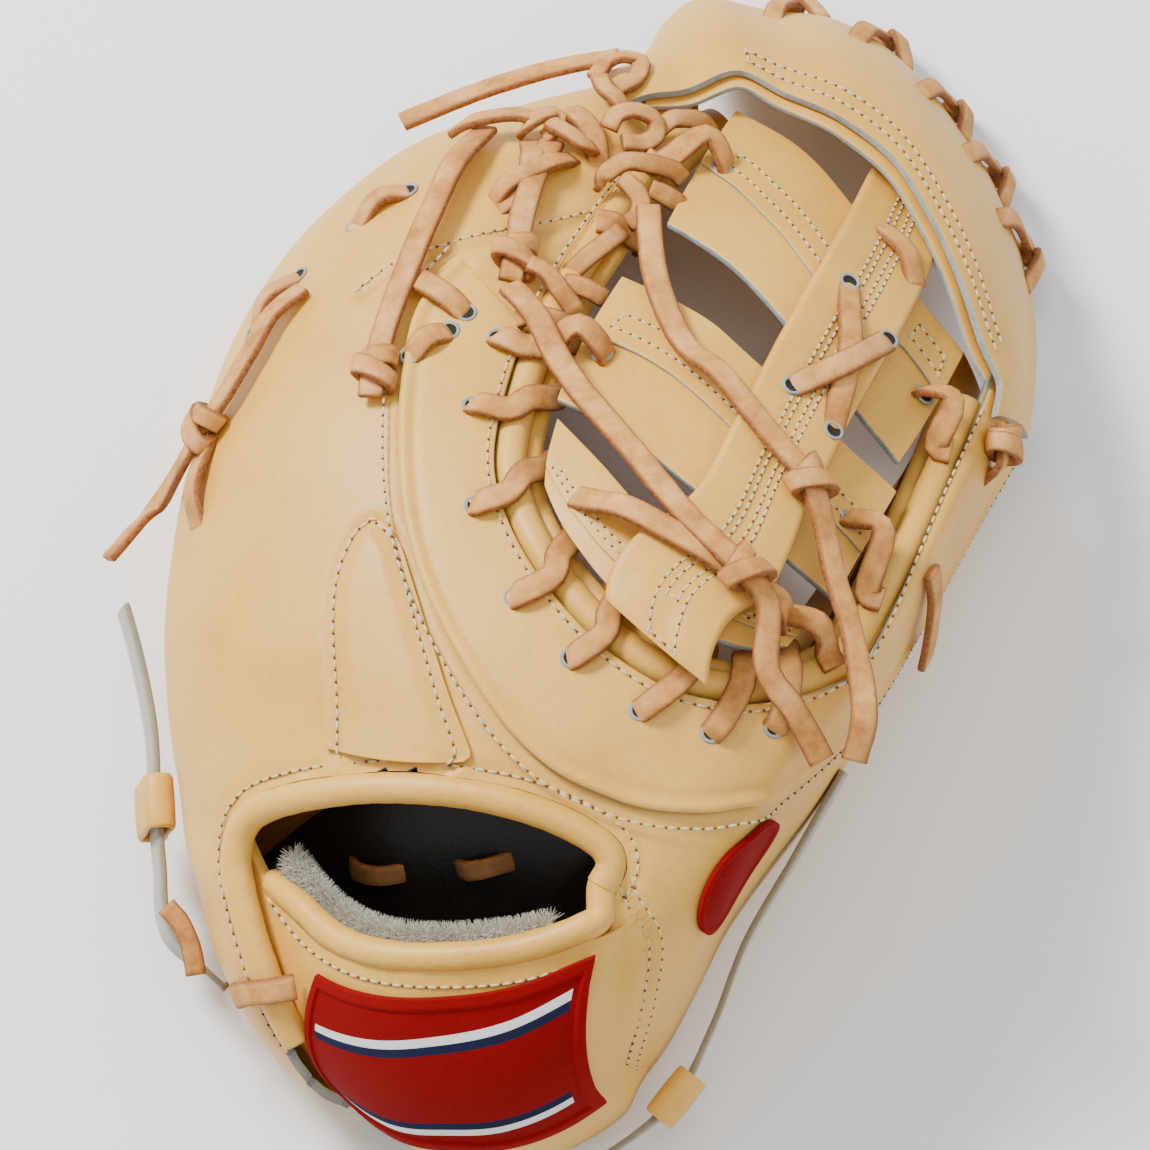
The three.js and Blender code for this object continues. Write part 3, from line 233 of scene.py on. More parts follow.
# Materials
colours = {  # linear values
    "leather": (0.700, 0.385, 0.062), "leatherDark": (0.560, 0.270, 0.036),
    "leatherLight": (0.760, 0.455, 0.095),
    # palm tones: the same blonde leather darkened with painted shade, for the pocket seen through the web
    "palm": (0.52, 0.25, 0.065), "shadedPalmDark": (0.36, 0.15, 0.035), "shadedPalmLight": (0.62, 0.33, 0.10),
    "lace": (0.590, 0.270, 0.068), "laceDark": (0.400, 0.160, 0.034), "laceLight": (0.70, 0.37, 0.15),
    "laceEdge": (0.170, 0.050, 0.010), "laceFray": (0.34, 0.13, 0.035),
    "rawEdge": (0.330, 0.370, 0.350), "rawDark": (0.20, 0.22, 0.20),
    "thread": (0.850, 0.700, 0.400), "threadDark": (0.55, 0.45, 0.28),
    "liner": (0.006, 0.005, 0.004), "linerDark": (0.002, 0.002, 0.002),
    "linerLight": (0.014, 0.012, 0.010),
    "fleece": (0.640, 0.610, 0.500), "fleeceDark": (0.44, 0.42, 0.33),
    "suede": (0.270, 0.225, 0.130), "suedeDark": (0.20, 0.175, 0.12),
    "red": (0.300, 0.0005, 0.0020), "redDark": (0.13, 0.0003, 0.001),
    "satin": (0.36, 0.0008, 0.003), "satinDark": (0.16, 0.0004, 0.0012),
    "navy": (0.010, 0.014, 0.045), "white": (0.800, 0.800, 0.780),
    # hole and prick: painted shade, inside the lace holes and where the stitches enter the leather
    "hole": (0.010, 0.008, 0.006), "prick": (0.120, 0.055, 0.014),
}


def setInputs(tree, node, inputs):  # each input's name or number, with its value or its source
    for key, value in inputs.items():
        if isinstance(value, bpy.types.NodeSocket):
            tree.links.new(value, node.inputs[key])
        elif isinstance(value, tuple) and node.inputs[key].type == "RGBA":
            node.inputs[key].default_value = (*value, 1)
        else:
            node.inputs[key].default_value = value


def addNode(tree, kind, inputs=None, **settings):
    node = tree.nodes.new(kind)
    for key, value in settings.items():
        setattr(node, key, value)
    setInputs(tree, node, inputs or {})
    return node


def mathNode(tree, operation, *values):
    return addNode(tree, "ShaderNodeMath", dict(enumerate(values)), operation=operation).outputs[0]


def newMaterial(name, roughness, inputs=None):
    material = bpy.data.materials.new(name)
    material.use_nodes = True
    tree = material.node_tree
    shader = tree.nodes["Principled BSDF"]
    setInputs(tree, shader, {"Roughness": roughness, **(inputs or {})})
    return material, tree, shader, addNode(tree, "ShaderNodeTexCoord").outputs["Object"]


def noiseNode(tree, place, scale, detail=3.0, rough=0.55, stretch=None):
    if stretch:
        place = addNode(tree, "ShaderNodeMapping", {"Scale": stretch, "Vector": place}).outputs["Vector"]
    return addNode(tree, "ShaderNodeTexNoise", {
        "Scale": scale, "Detail": detail, "Roughness": rough, "Vector": place}).outputs["Fac"]


def ramp(tree, fac, stops):
    node = addNode(tree, "ShaderNodeValToRGB", {"Fac": fac})
    while len(node.color_ramp.elements) < len(stops):
        node.color_ramp.elements.new(0.5)
    for element, (position, colour) in zip(node.color_ramp.elements, stops):
        element.position = position
        element.color = (*colour, 1)
    return node.outputs["Color"]


def mixColour(tree, fac, a, b, mode="MIX"):
    ends = {0: fac, 6: a, 7: b}
    return addNode(tree, "ShaderNodeMix", ends, data_type="RGBA", blend_type=mode).outputs[2]


def bumps(tree, shader, layers):  # each layer: height socket, strength, distance in metres
    before = {}
    for height, strength, distance in layers:
        inputs = {"Strength": strength, "Distance": distance, "Height": height, **before}
        before = {"Normal": addNode(tree, "ShaderNodeBump", inputs).outputs["Normal"]}
    setInputs(tree, shader, before)


def leatherMaterial(name, base, dark, light, roughness=0.47, grain=0.35, coat=0.06):
    material, tree, shader, place = newMaterial(name, roughness, {
        "Specular IOR Level": 0.42, "Coat Weight": coat, "Coat Roughness": 0.38})
    cloud, fine = noiseNode(tree, place, 22, 4), noiseNode(tree, place, 620, 2)
    tone = mixColour(tree, 0.45, ramp(tree, cloud, [(0.30, dark), (0.50, base), (0.74, light)]), base)
    pointed = addNode(tree, "ShaderNodeNewGeometry").outputs["Pointiness"]
    # painted shade darkens the hollows and creases (low pointiness); real edge wear lightens the ridges
    ridgeWearHollowShade = ramp(tree, pointed, [
        (0.44, (0.72, 0.66, 0.58)), (0.50, (1, 1, 1)), (0.58, (1.08, 1.08, 1.06))])
    tone = mixColour(tree, 0.55, tone, ridgeWearHollowShade, "MULTIPLY")
    specks = ramp(tree, fine, [(0.30, (0.90, 0.88, 0.84)), (0.52, (1, 1, 1))])
    cells = addNode(tree, "ShaderNodeTexVoronoi", {"Scale": 1150, "Vector": place}).outputs["Distance"]
    creases = noiseNode(tree, place, 95, 5, 0.6, (1.0, 0.45, 1.0))
    swell = noiseNode(tree, place, 34, 2)
    bumps(tree, shader, [
        (swell, 0.25, 0.0012), (creases, grain, 0.0005), (fine, 0.3, 0.0002), (cells, 0.25, 0.00015)])
    rough = addNode(tree, "ShaderNodeMapRange", {
        "To Min": roughness - 0.07, "To Max": roughness + 0.10, "Value": cloud}).outputs["Result"]
    tone = mixColour(tree, 0.6, tone, specks, "MULTIPLY")
    setInputs(tree, shader, {"Base Color": tone, "Roughness": rough})
    return material


def laceMaterial(name="laceLeather", shade=1.0):
    material, tree, shader, place = newMaterial(name, 0.72, {"Specular IOR Level": 0.3})
    cloud, torn = noiseNode(tree, place, 120, 5, 0.65), noiseNode(tree, place, 900, 3, 0.7)
    stops = ((0.34, "laceDark"), (0.52, "lace"), (0.72, "laceLight"))
    tone = ramp(tree, cloud, [(at, tuple(shade * c for c in colours[key])) for at, key in stops])
    edge = addNode(tree, "ShaderNodeAttribute", attribute_name="cutEdge").outputs["Fac"]
    fray = mathNode(tree, "MULTIPLY_ADD", torn, 0.9, edge)
    share = addNode(tree, "ShaderNodeMapRange", {"From Min": 0.75, "From Max": 1.25, "Value": fray})
    rough = ramp(tree, torn, [(0.35, colours["laceEdge"]), (0.65, colours["laceFray"])])
    setInputs(tree, shader, {"Base Color": mixColour(tree, share.outputs["Result"], tone, rough)})
    fibre = noiseNode(tree, place, 700, 3, 0.7)
    bumps(tree, shader, [(cloud, 0.3, 0.0006), (fibre, 0.5, 0.0003)])
    return material


def clothMaterial(name, base, dark, scale, bumpDepth, sheen=0.3):
    material, tree, shader, place = newMaterial(name, 0.85, {
        "Sheen Weight": sheen, "Specular IOR Level": 0.12})
    weave = {"Scale": scale, "Distortion": 1.2, "Detail": 2, "Vector": place}
    wave = addNode(tree, "ShaderNodeTexWave", weave, wave_type="BANDS",
                   bands_direction="DIAGONAL").outputs["Fac"]
    fuzz = noiseNode(tree, place, scale * 2.6, 3)
    tone = ramp(tree, wave, [(0.2, dark), (0.6, base)])
    flecks = ramp(tree, fuzz, [(0.3, dark), (0.7, base)])
    setInputs(tree, shader, {"Base Color": mixColour(tree, 0.25, tone, flecks)})
    bumps(tree, shader, [(wave, 0.6, bumpDepth), (fuzz, 0.4, bumpDepth)])
    return material


def napMaterial(name, base, dark, scale, roughness=0.95, sheen=0.5):
    material, tree, shader, place = newMaterial(name, roughness, {
        "Sheen Weight": sheen, "Sheen Roughness": 0.6, "Specular IOR Level": 0.2})
    coarse, nap = noiseNode(tree, place, scale / 6, 4, 0.6), noiseNode(tree, place, scale, 4, 0.7)
    tone = ramp(tree, mixColour(tree, 0.5, coarse, nap), [(0.36, dark), (0.62, base)])
    setInputs(tree, shader, {"Base Color": tone})
    bumps(tree, shader, [(nap, 0.6, 0.0004)])
    return material


def shadesOf(*names):
    return [colours[name] for name in names]


looks = {
    "leather": leatherMaterial("blondeLeather", *shadesOf("leather", "leatherDark", "leatherLight")),
    # the palm leather's darker colour is painted shade on the blonde leather
    "palmLeather": leatherMaterial("palmLeather", *shadesOf("palm", "shadedPalmDark", "shadedPalmLight"), 0.55, 0.5),
    # the second lace look is the lace tones darkened to 0.32 as painted shade, for the laces on the lining
    "lace": laceMaterial(), "shadedLace": laceMaterial("laceLeatherPaintedShade", 0.32),
    "rawEdge": napMaterial("rawEdge", *shadesOf("rawEdge", "rawDark"), 900, 0.95, 0.1),
    "thread": clothMaterial("thread", *shadesOf("thread", "threadDark"), 2600, 0.0001),
    "liner": leatherMaterial("blackLining", *shadesOf("liner", "linerDark", "linerLight"), 0.42, 0.5),
    "fleece": napMaterial("fleecePile", *shadesOf("fleece", "fleeceDark"), 600, 0.95, 0.3),
    "suede": napMaterial("suede", *shadesOf("suede", "suedeDark"), 700),
    "red": clothMaterial("redTwill", *shadesOf("red", "redDark"), 900, 0.00025, 0.0),
    "satinRed": clothMaterial("redSatinStitch", *shadesOf("satin", "satinDark"), 1500, 0.0003, 0.0),
    "hole": newMaterial("holeShade", 0.95, {"Base Color": colours["hole"]})[0],
    "prick": newMaterial("prickShade", 0.95, {"Base Color": colours["prick"]})[0],
}
print("materials made")


# Building meshes
def newAttribute(mesh, name, kind, part, values):
    mesh.attributes.new(name, kind, "POINT").data.foreach_set(part, np.asarray(values, np.float32).ravel())


def makePiece(name, points, polygons, look, stands=(), extra=(), material=None, edge=None, bevel=None,
              mark=None):
    mesh = bpy.data.meshes.new(name)
    mesh.from_pydata(toMetres(points).tolist(), [], [list(map(int, p)) for p in polygons])
    for key in (look, *extra):
        mesh.materials.append(looks[key])
    if material is not None:
        mesh.polygons.foreach_set("material_index", np.asarray(material, dtype=np.int32))
    if edge is not None:
        newAttribute(mesh, "cutEdge", "FLOAT", "value", edge)
    if mark is not None:  # shares along and across the piece, for its pattern
        shares = np.concatenate([mark, np.zeros((len(mark), 1))], axis=1)
        newAttribute(mesh, "shares", "FLOAT_VECTOR", "vector", shares)
    mesh.update()
    piece = newObject(name, mesh)
    if bevel:
        modifier = piece.modifiers.new("edge", "BEVEL")
        modifier.width, modifier.segments, modifier.limit_method = bevel / 1000, 2, "ANGLE"
        modifier.angle_limit = math.radians(50)
        settle(piece)
    piece.data.polygons.foreach_set("use_smooth", np.full(len(piece.data.polygons), True))
    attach(piece, "root")
    if stands:
        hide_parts(*([stands] if isinstance(stands, str) else stands))
    return piece


def settle(piece):  # the modifiers' result becomes the plain mesh
    held = piece.evaluated_get(bpy.context.evaluated_depsgraph_get())
    plain = bpy.data.meshes.new_from_object(held)
    piece.modifiers.clear()
    piece.data = plain


def facingOut(points, polygons):  # polygons turned over if they enclose a volume below zero
    volume = 0.0
    for polygon in polygons:
        a = points[polygon[0]]
        for k in range(1, len(polygon) - 1):
            volume += np.dot(a, np.cross(points[polygon[k]], points[polygon[k + 1]]))
    return [tuple(reversed(polygon)) for polygon in polygons] if volume < 0 else polygons


def swells(amount, scale, seed, drop):  # an uneven relief for a slab's top
    def relief(a, b, top):
        return amount * ripple(top.reshape(-1, 3), scale, seed).reshape(a.shape) - drop
    return relief


def slabPiece(name, face, region, steps, low, high, look, stands=(), raw=None, relief=None, bevel=0.45,
              floor=None, keep=None, paint=None, extra=(), mark=False):
    us, vs = np.linspace(0, 1, steps[0] + 1), np.linspace(0, 1, steps[1] + 1)
    u, v = np.meshgrid(us, vs, indexing="ij")
    a, b = region(u, v)
    base, normal = faces[face][0](a, b), normalOn(face, a, b)
    lowHere = low(u, v) if callable(low) else np.full(u.shape, float(low))
    highHere = high(u, v) if callable(high) else np.full(u.shape, float(high))
    top = base + normal * highHere[..., None]
    bottom = base + normal * lowHere[..., None]
    if relief is not None:
        top = top + normal * relief(a, b, top)[..., None]
    if floor is not None:
        top[..., 2], bottom[..., 2] = np.maximum(top[..., 2], floor), np.maximum(bottom[..., 2], floor)
    n, m = u.shape
    cells = np.ones((n - 1, m - 1), bool) if keep is None else keep(a, b)
    shades = np.zeros((n - 1, m - 1), int)
    if paint is not None:
        shades = paint(*np.meshgrid((us[:-1] + us[1:]) / 2, (vs[:-1] + vs[1:]) / 2, indexing="ij"))
    ids = np.arange(n * m).reshape(n, m)
    offset = n * m
    polygons, kinds = [], []
    for i in range(n - 1):
        for j in range(m - 1):
            if not cells[i, j]:
                continue
            p, q, r, s = ids[i, j], ids[i + 1, j], ids[i + 1, j + 1], ids[i, j + 1]
            polygons.append((p, q, r, s))
            kinds.append(shades[i, j])
            polygons.append((p + offset, s + offset, r + offset, q + offset))
            kinds.append(0)
            for free, x, y in ((j == 0 or not cells[i, j - 1], p, q),
                               (i == n - 2 or not cells[min(i + 1, n - 2), j], q, r),
                               (j == m - 2 or not cells[i, min(j + 1, m - 2)], r, s),
                               (i == 0 or not cells[i - 1, j], s, p)):
                if free:
                    polygons.append((y, x, x + offset, y + offset))
                    kinds.append(1 if raw else 0)
    points = np.concatenate([top.reshape(-1, 3), bottom.reshape(-1, 3)])
    used = np.unique(np.array([k for polygon in polygons for k in polygon]))
    lookup = np.full(len(points), -1)
    lookup[used] = np.arange(len(used))
    points = points[used]
    shareAt = np.concatenate([np.stack([u, v], -1).reshape(-1, 2)] * 2)[used] if mark else None
    polygons = facingOut(points, [tuple(lookup[list(polygon)]) for polygon in polygons])
    looksAfter = ((raw,) if raw else ()) + extra
    return makePiece(name, points, polygons, look, stands, looksAfter, kinds, bevel=bevel, mark=shareAt)


def tubeRings(centres, radius, sides):
    centres = np.asarray(centres, float)
    tangents = unit(np.gradient(centres, axis=0))
    side = unit(np.cross(tangents, np.array([0.0, 0.0, 1.0])))
    top = np.cross(side, tangents)
    turns = 2 * np.pi * np.arange(sides) / sides
    radii = np.broadcast_to(radius, len(centres))[:, None, None]
    cosines, sines = np.cos(turns)[None, :, None], np.sin(turns)[None, :, None]
    return centres[:, None] + radii * (side[:, None] * cosines + top[:, None] * sines)


def ringPolygons(count, sides, closed=False):
    polygons = []
    for i in range(count if closed else count - 1):
        for j in range(sides):
            a, b = i * sides + j, i * sides + (j + 1) % sides
            c, d = ((i + 1) % count) * sides + (j + 1) % sides, ((i + 1) % count) * sides + j
            polygons.append((a, b, c, d))
    if not closed:
        last = (count - 1) * sides
        polygons += [tuple(range(sides - 1, -1, -1)), tuple(last + j for j in range(sides))]
    return polygons


def ringPiece(name, rings, look, stands=(), closed=False, edge=None):
    count, sides = rings.shape[:2]
    points = rings.reshape(-1, 3)
    polygons = facingOut(points, ringPolygons(count, sides, closed))
    return makePiece(name, points, polygons, look, stands, edge=edge)


def catmull(points, count, closed=False):  # centripetal spline, even in its own parameter
    points = np.asarray(points, float)
    n = len(points)
    spans = n if closed else n - 1
    out = []
    for share in np.linspace(0, 1, count, endpoint=not closed):
        place = share * spans
        i = min(int(place), spans - 1)
        f = place - i
        if closed:
            p0, p1, p2, p3 = (points[(i + k) % n] for k in (-1, 0, 1, 2))
        else:
            p1, p2 = points[i], points[i + 1]
            p0 = points[i - 1] if i > 0 else 2 * p1 - p2
            p3 = points[i + 2] if i + 2 < n else 2 * p2 - p1
        d0, d1, d2 = (max(np.linalg.norm(b - a), 1e-6) ** 0.5 for a, b in ((p0, p1), (p1, p2), (p2, p3)))
        m1 = ((p1 - p0) / d0 - (p2 - p0) / (d0 + d1) + (p2 - p1) / d1) * d1
        m2 = ((p2 - p1) / d1 - (p3 - p1) / (d1 + d2) + (p3 - p2) / d2) * d1
        out.append(p1 + f * (m1 + f * (3 * (p2 - p1) - 2 * m1 - m2 + f * (2 * (p1 - p2) + m1 + m2))))
    return np.array(out)


def smoothRoute(route, count):
    return catmull([[a, b, 0] for a, b in route], count + 1)[:, :2]


# Laces: flat strips with rounded faces and rough cut edges
def onFace(face, a, b, lift):  # a lace's middle, lying the lift above a place on a face, and its look
    a, b = np.float64(a), np.float64(b)
    return raised(face, a, b, lift + lace["thick"] / 2), normalOn(face, a, b)


def stopsOf(route):
    stops = []
    for place, *numbers in route:
        if place == "free":
            look = np.array(numbers[3] if len(numbers) > 3 else [0, -0.3, 1], float)
            stops.append((np.array(numbers[:3]) * mittSize, unit(look)))
        else:
            stops.append(onFace(place, *numbers))
    return stops


def stripRings(stops, width, thick, step=1.6, closed=False, wobble=0.0):
    points = np.array([point for point, _ in stops])
    length = np.linalg.norm(np.diff(points, axis=0), axis=1).sum()
    count = max(8, int(length / step))
    centres = catmull(points, count, closed)
    aims = catmull([aim for _, aim in stops], count, closed)
    if closed:
        tangents = unit(np.roll(centres, -1, axis=0) - np.roll(centres, 1, axis=0))
    else:
        tangents = unit(np.gradient(centres, axis=0))
    side = unit(np.cross(tangents, aims))
    out = np.cross(side, tangents)
    sideWobble = np.zeros((count, 2))
    if wobble:
        walk = chance.normal(size=(count + 8, 2))
        smooth = np.array([walk[i:i + 5].mean(axis=0) for i in range(count)])
        sideWobble = smooth * wobble
    w, t = width / 2, thick / 2
    section = [
        (-w, -0.45 * t), (-w, 0.45 * t), (-0.86 * w, 0.92 * t), (-0.45 * w, t), (0, 1.04 * t), (0.45 * w, t),
        (0.86 * w, 0.92 * t), (w, 0.45 * t), (w, -0.45 * t), (0.86 * w, -0.92 * t), (0, -t),
        (-0.86 * w, -0.92 * t)]
    edges = [1.0, 1.0, 0.55, 0, 0, 0, 0.55, 1.0, 1.0, 0.55, 0.2, 0.55]
    rings = np.empty((count, len(section), 3))
    for k, (x, z) in enumerate(section):
        push = sideWobble[:, 0] * (x < -0.7 * w) + sideWobble[:, 1] * (x > 0.7 * w)
        rings[:, k] = centres + side * (x + push)[:, None] + out * z
    return rings, np.tile(edges, count), centres


def tucked(route, first=True, last=True):  # the ends of a route dip into the leather
    ends = ([0] if first else []) + ([-1] if last else [])
    route = [list(row) for row in route]
    for i in ends:
        if route[i][0] != "free":
            route[i][3] -= 2.7
    return route


def lacePiece(name, route, stands=(), wobble=0.18, stops=None, closed=False, look="lace",
              width=lace["width"], thick=lace["thick"]):
    stops = stopsOf(route) if stops is None else stops
    rings, edge, centres = stripRings(stops, width, thick, closed=closed, wobble=wobble)
    return ringPiece(name, rings, look, stands, closed, edge), centres


def knotPieces(name, stop, heading, tilt=1.6):  # two turns of lace pulled across each other
    point, look = stop
    side = unit(np.cross(heading, look))
    out = unit(np.cross(side, heading))
    wide, high = lace["width"] / 2 + 1.3, lace["thick"] + 0.9
    narrow = lace["width"] - 1.2
    pieces = []
    for k, (lean, grow, push) in enumerate(((tilt, 1.0, -1.6), (-1.4 * tilt, 1.14, 1.6))):
        stops = []
        for i in range(10):
            turn = 2 * np.pi * i / 10
            reach = side * wide * grow * np.cos(turn) + out * high * grow * np.sin(turn)
            stops.append((point + reach + heading * (push + lean * np.cos(turn)), unit(reach)))
        pieces.append(lacePiece(f"{name}_{k + 1}", None, (), 0.12, stops, True, width=narrow)[0])
    return pieces


panelLift = layerGap + 0.4
panelTop = panelLift + thickness["panel"]
laceGap = lace["gap"]
overBar = thickness["bar"] / 2 + laceGap
overWeb = overBar + 2.5
overPost = thickness["bar"] / 2 + 0.4 * thickness["post"] + thickness["post"] + laceGap
knotLift = lace["thick"] + 0.4
outUp, outSide = [0, 0.5, 0.8], [-1, 0, 0.5]

def on(face, *stops):  # a route's stops on one face, or free in space
    return [[face, *stop] for stop in stops]


# Free laces: route, the node it stands for, places of its knots, and the shorter laces it holds
freeLaces = {
    "web_lace_upper": {"knots": [6], "held": [], "route": [*on("web", (0.808, 0.115, overWeb + 2),
        (0.750, 0.210, overWeb), (0.700, 0.340, overWeb), (0.680, 0.430, overPost + 0.2),
        (0.662, 0.530, overPost + 0.5), (0.648, 0.610, overPost + knotLift / 2),
        (0.635, 0.685, overPost + knotLift), (0.616, 0.745, overPost + knotLift / 2),
        (0.575, 0.830, overPost - 1), (0.520, 0.915, overPost)), *on("free", (0.300, -0.160, 0.935),
        (0.290, -0.186, 0.872))]},
    "web_lace_lower": {"knots": [5], "route": [*on("body", (0.202, 0.060, panelTop + 4.5)),
        *on("web", (0.660, 0.030, overWeb + 5.2), (0.619, 0.141, overWeb + 2),
        (0.560, 0.330, overWeb + 3), (0.500, 0.480, overPost + 1.4),
        (0.443, 0.631, overPost + knotLift + 1.2), (0.405, 0.700, overPost + 2.8)),
        *on("free", (0.198, -0.130, 1.010), (0.228, -0.158, 0.955), (0.256, -0.188, 0.890))],
        "held": [on("web", (0.488, 0.220, overBar + 0.3), (0.478, 0.290, overBar + 3),
        (0.470, 0.350, overPost + 0.8), (0.462, 0.440, overPost + 1.2), (0.450, 0.560, overPost + 1.6),
        (0.445, 0.615, overPost + knotLift + 0.6))]},
    "tip_lace_long": {"knots": [5], "route": on("body", (0.148, 0.387, 2.5), (0.175, 0.320, 5),
        (0.205, 0.260, 5.5), (0.237, 0.228, 4.5), (0.262, 0.218, 3.4), (0.278, 0.212, 3),
        (0.292, 0.207, 2.4)), "held": [on("body", (0.229, 0.260, laceGap + 0.3),
        (0.228, 0.205, panelTop + 0.8), (0.226, 0.150, panelTop + laceGap + 0.4),
        (0.224, 0.112, panelTop + laceGap))]},
    "tip_lace_short": {"knots": [3], "route": on("body", (0.120, 0.250, 0.3), (0.140, 0.190, 3.2),
        (0.165, 0.128, 4), (0.182, 0.090, 3.2),
        (0.194, 0.070, 2.6)), "held": [on("body", (0.168, 0.200, laceGap + 0.4), (0.152, 0.175, 2.4),
        (0.137, 0.230, 2.4), (0.127, 0.320, laceGap + 0.4))]},
    "tip_lace_free": {"knots": [], "held": [], "route": on("free", (0.047, 0.451, 0.450, outUp),
        (-0.017, 0.450, 0.400, outUp), (-0.108, 0.432, 0.380, outUp), (-0.196, 0.406, 0.370, outUp))},
    "pinky_lace_tail": {"knots": [4], "route": [*on("body", (0.255, 0.440, 0.3), (0.270, 0.462, 3),
        (0.288, 0.480, 3.2), (0.306, 0.520, 3), (0.314, 0.560, 3), (0.326, 0.610, 3)),
        *on("free", (-0.462, 0.078, 0.365, outSide), (-0.488, 0.056, 0.365, outSide),
        (-0.515, 0.032, 0.365, outSide))], "held": [on("body", (0.352, 0.570, 0.3), (0.338, 0.570, 1.6),
        (0.320, 0.565, 3))]},
    "thumb_lace_free": {"knots": [], "held": [], "route": on("body", (0.885, 0.130, panelTop + 0.3),
        (0.878, 0.300, panelTop + 1.6), (0.868, 0.480, panelTop + 3), (0.862, 0.640, panelTop + 3.5))},
}
for name, values in freeLaces.items():
    stops = stopsOf(values["route"])
    piece, centres = lacePiece(name + "_strand", None, name, 0.2, stops)
    knots = []
    for i in values["knots"]:
        before, after = stops[max(i - 1, 0)][0], stops[min(i + 1, len(stops) - 1)][0]
        knots += knotPieces(f"{name}_knot", stops[i], unit(after - before))
    for k, held in enumerate(values["held"]):
        lacePiece(f"{name}_held_{k + 1}", tucked(held))
print("free laces made")


# Routes on the faces
def beside(face, route, aside=0.0, lift=0.0):  # a line beside a route of shares, lifted off its face
    route = np.asarray(route, float)
    a, b = route[:, 0], route[:, 1]
    base, out = faces[face][0](a, b), normalOn(face, a, b)
    heading = unit(np.gradient(base, axis=0))
    side = unit(np.cross(out, heading))
    return base + out * np.reshape(lift, (-1, 1)) + side * np.reshape(aside, (-1, 1))


def between(table):
    def place(u, v):
        row = rowAt(table, u)
        along, down = (row[..., k] + (row[..., k + 2] - row[..., k]) * v for k in (0, 1))
        return along, down
    return place


def nearLine(points, line):  # how far each point is from a line of points
    points = points.reshape(-1, 3)
    best = np.full(len(points), 1e9)
    for p, q in zip(line[:-1], line[1:]):
        span = q - p
        f = np.clip((points - p) @ span / max(span @ span, 1e-9), 0, 1)
        best = np.minimum(best, np.linalg.norm(points - p - f[:, None] * span, axis=1))
    return best


def ease(x, low, high):
    t = np.clip((x - low) / (high - low), 0, 1)
    return t * t * (3 - 2 * t)


def ripple(points, scale, seed):  # smooth uneven swell in space, from -1 to 1
    source = np.random.default_rng(seed)
    total = 0.0
    for k in range(6):
        way = source.normal(size=3) / scale
        total = total + np.sin(points @ way * (1 + 0.5 * k) + source.uniform(0, 6.28))
    return total / 6


openingSeam = [
    [0.555, 0.691], [0.537, 0.653], [0.517, 0.630], [0.498, 0.612], [0.482, 0.595], [0.471, 0.565],
    [0.465, 0.516], [0.465, 0.451], [0.472, 0.355], [0.490, 0.249], [0.528, 0.183], [0.570, 0.168],
    [0.602, 0.180], [0.618, 0.210], [0.622, 0.245],
]
underStrap = [[0.640, 0.360], [0.655, 0.480], [0.662, 0.720], [0.662, 1.02], [0.590, 1.02]]
panelTable = [
    [0.205, 0.181], [0.237, 0.194], [0.274, 0.170], [0.313, 0.152], [0.364, 0.149], [0.424, 0.150],
    [0.480, 0.148], [0.538, 0.144], [0.587, 0.141], [0.645, 0.144], [0.711, 0.197], [0.786, 0.372],
    [0.840, 0.560], [0.905, 0.660], [0.990, 0.690],
]
padTable = [
    [0.460, 0.350, 0.495, 0.206], [0.440, 0.330, 0.490, 0.194], [0.402, 0.298, 0.455, 0.182],
    [0.378, 0.270, 0.420, 0.170], [0.360, 0.235, 0.392, 0.162], [0.354, 0.208, 0.372, 0.162],
    [0.352, 0.190, 0.360, 0.170],
]
strapTable = [
    [0.486, 0.560, 0.552, 0.735], [0.512, 0.528, 0.568, 0.765], [0.540, 0.483, 0.588, 0.775],
    [0.563, 0.440, 0.606, 0.775], [0.584, 0.392, 0.624, 0.770], [0.603, 0.348, 0.646, 0.790],
    [0.620, 0.308, 0.668, 0.800], [0.642, 0.285, 0.690, 0.775],
]
openingLine = smoothRoute(openingSeam, 20)
openingRim = beside("body", smoothRoute(openingSeam, 90), 2.6, 0.0)
panelSeam = rowAt(panelTable, np.linspace(0, 1, 160))
tipSeam = smoothRoute([
    [0.245, 0.311], [0.226, 0.276], [0.204, 0.212], [0.173, 0.133], [0.143, 0.055], [0.123, 0.002]], 40)
heelSeam = smoothRoute([
    [0.621, 0.234], [0.656, 0.323], [0.674, 0.470], [0.680, 0.716], [0.682, 0.860]], 50)
padRows = np.linspace(0.0, 0.93, 40)
padLeft, padRight = between(padTable)(padRows, 0.08), between(padTable)(padRows, 0.92)
padLine = np.concatenate([np.stack(padLeft, -1), np.stack(padRight, -1)[::-1]])

# The shells
seamLines = {
    "panel": beside("body", panelSeam, 1.9), "tip": beside("body", tipSeam),
    "heel": beside("body", heelSeam), "pad": beside("body", padLine), "opening": openingRim,
}
seamGrooves = {  # depth and width of the groove that each seam pulls into the leather
    "panel": (0.7, 1.7), "tip": (1.3, 2.2), "heel": (0.5, 1.4), "pad": (0.7, 1.8), "opening": (0.5, 1.4),
}


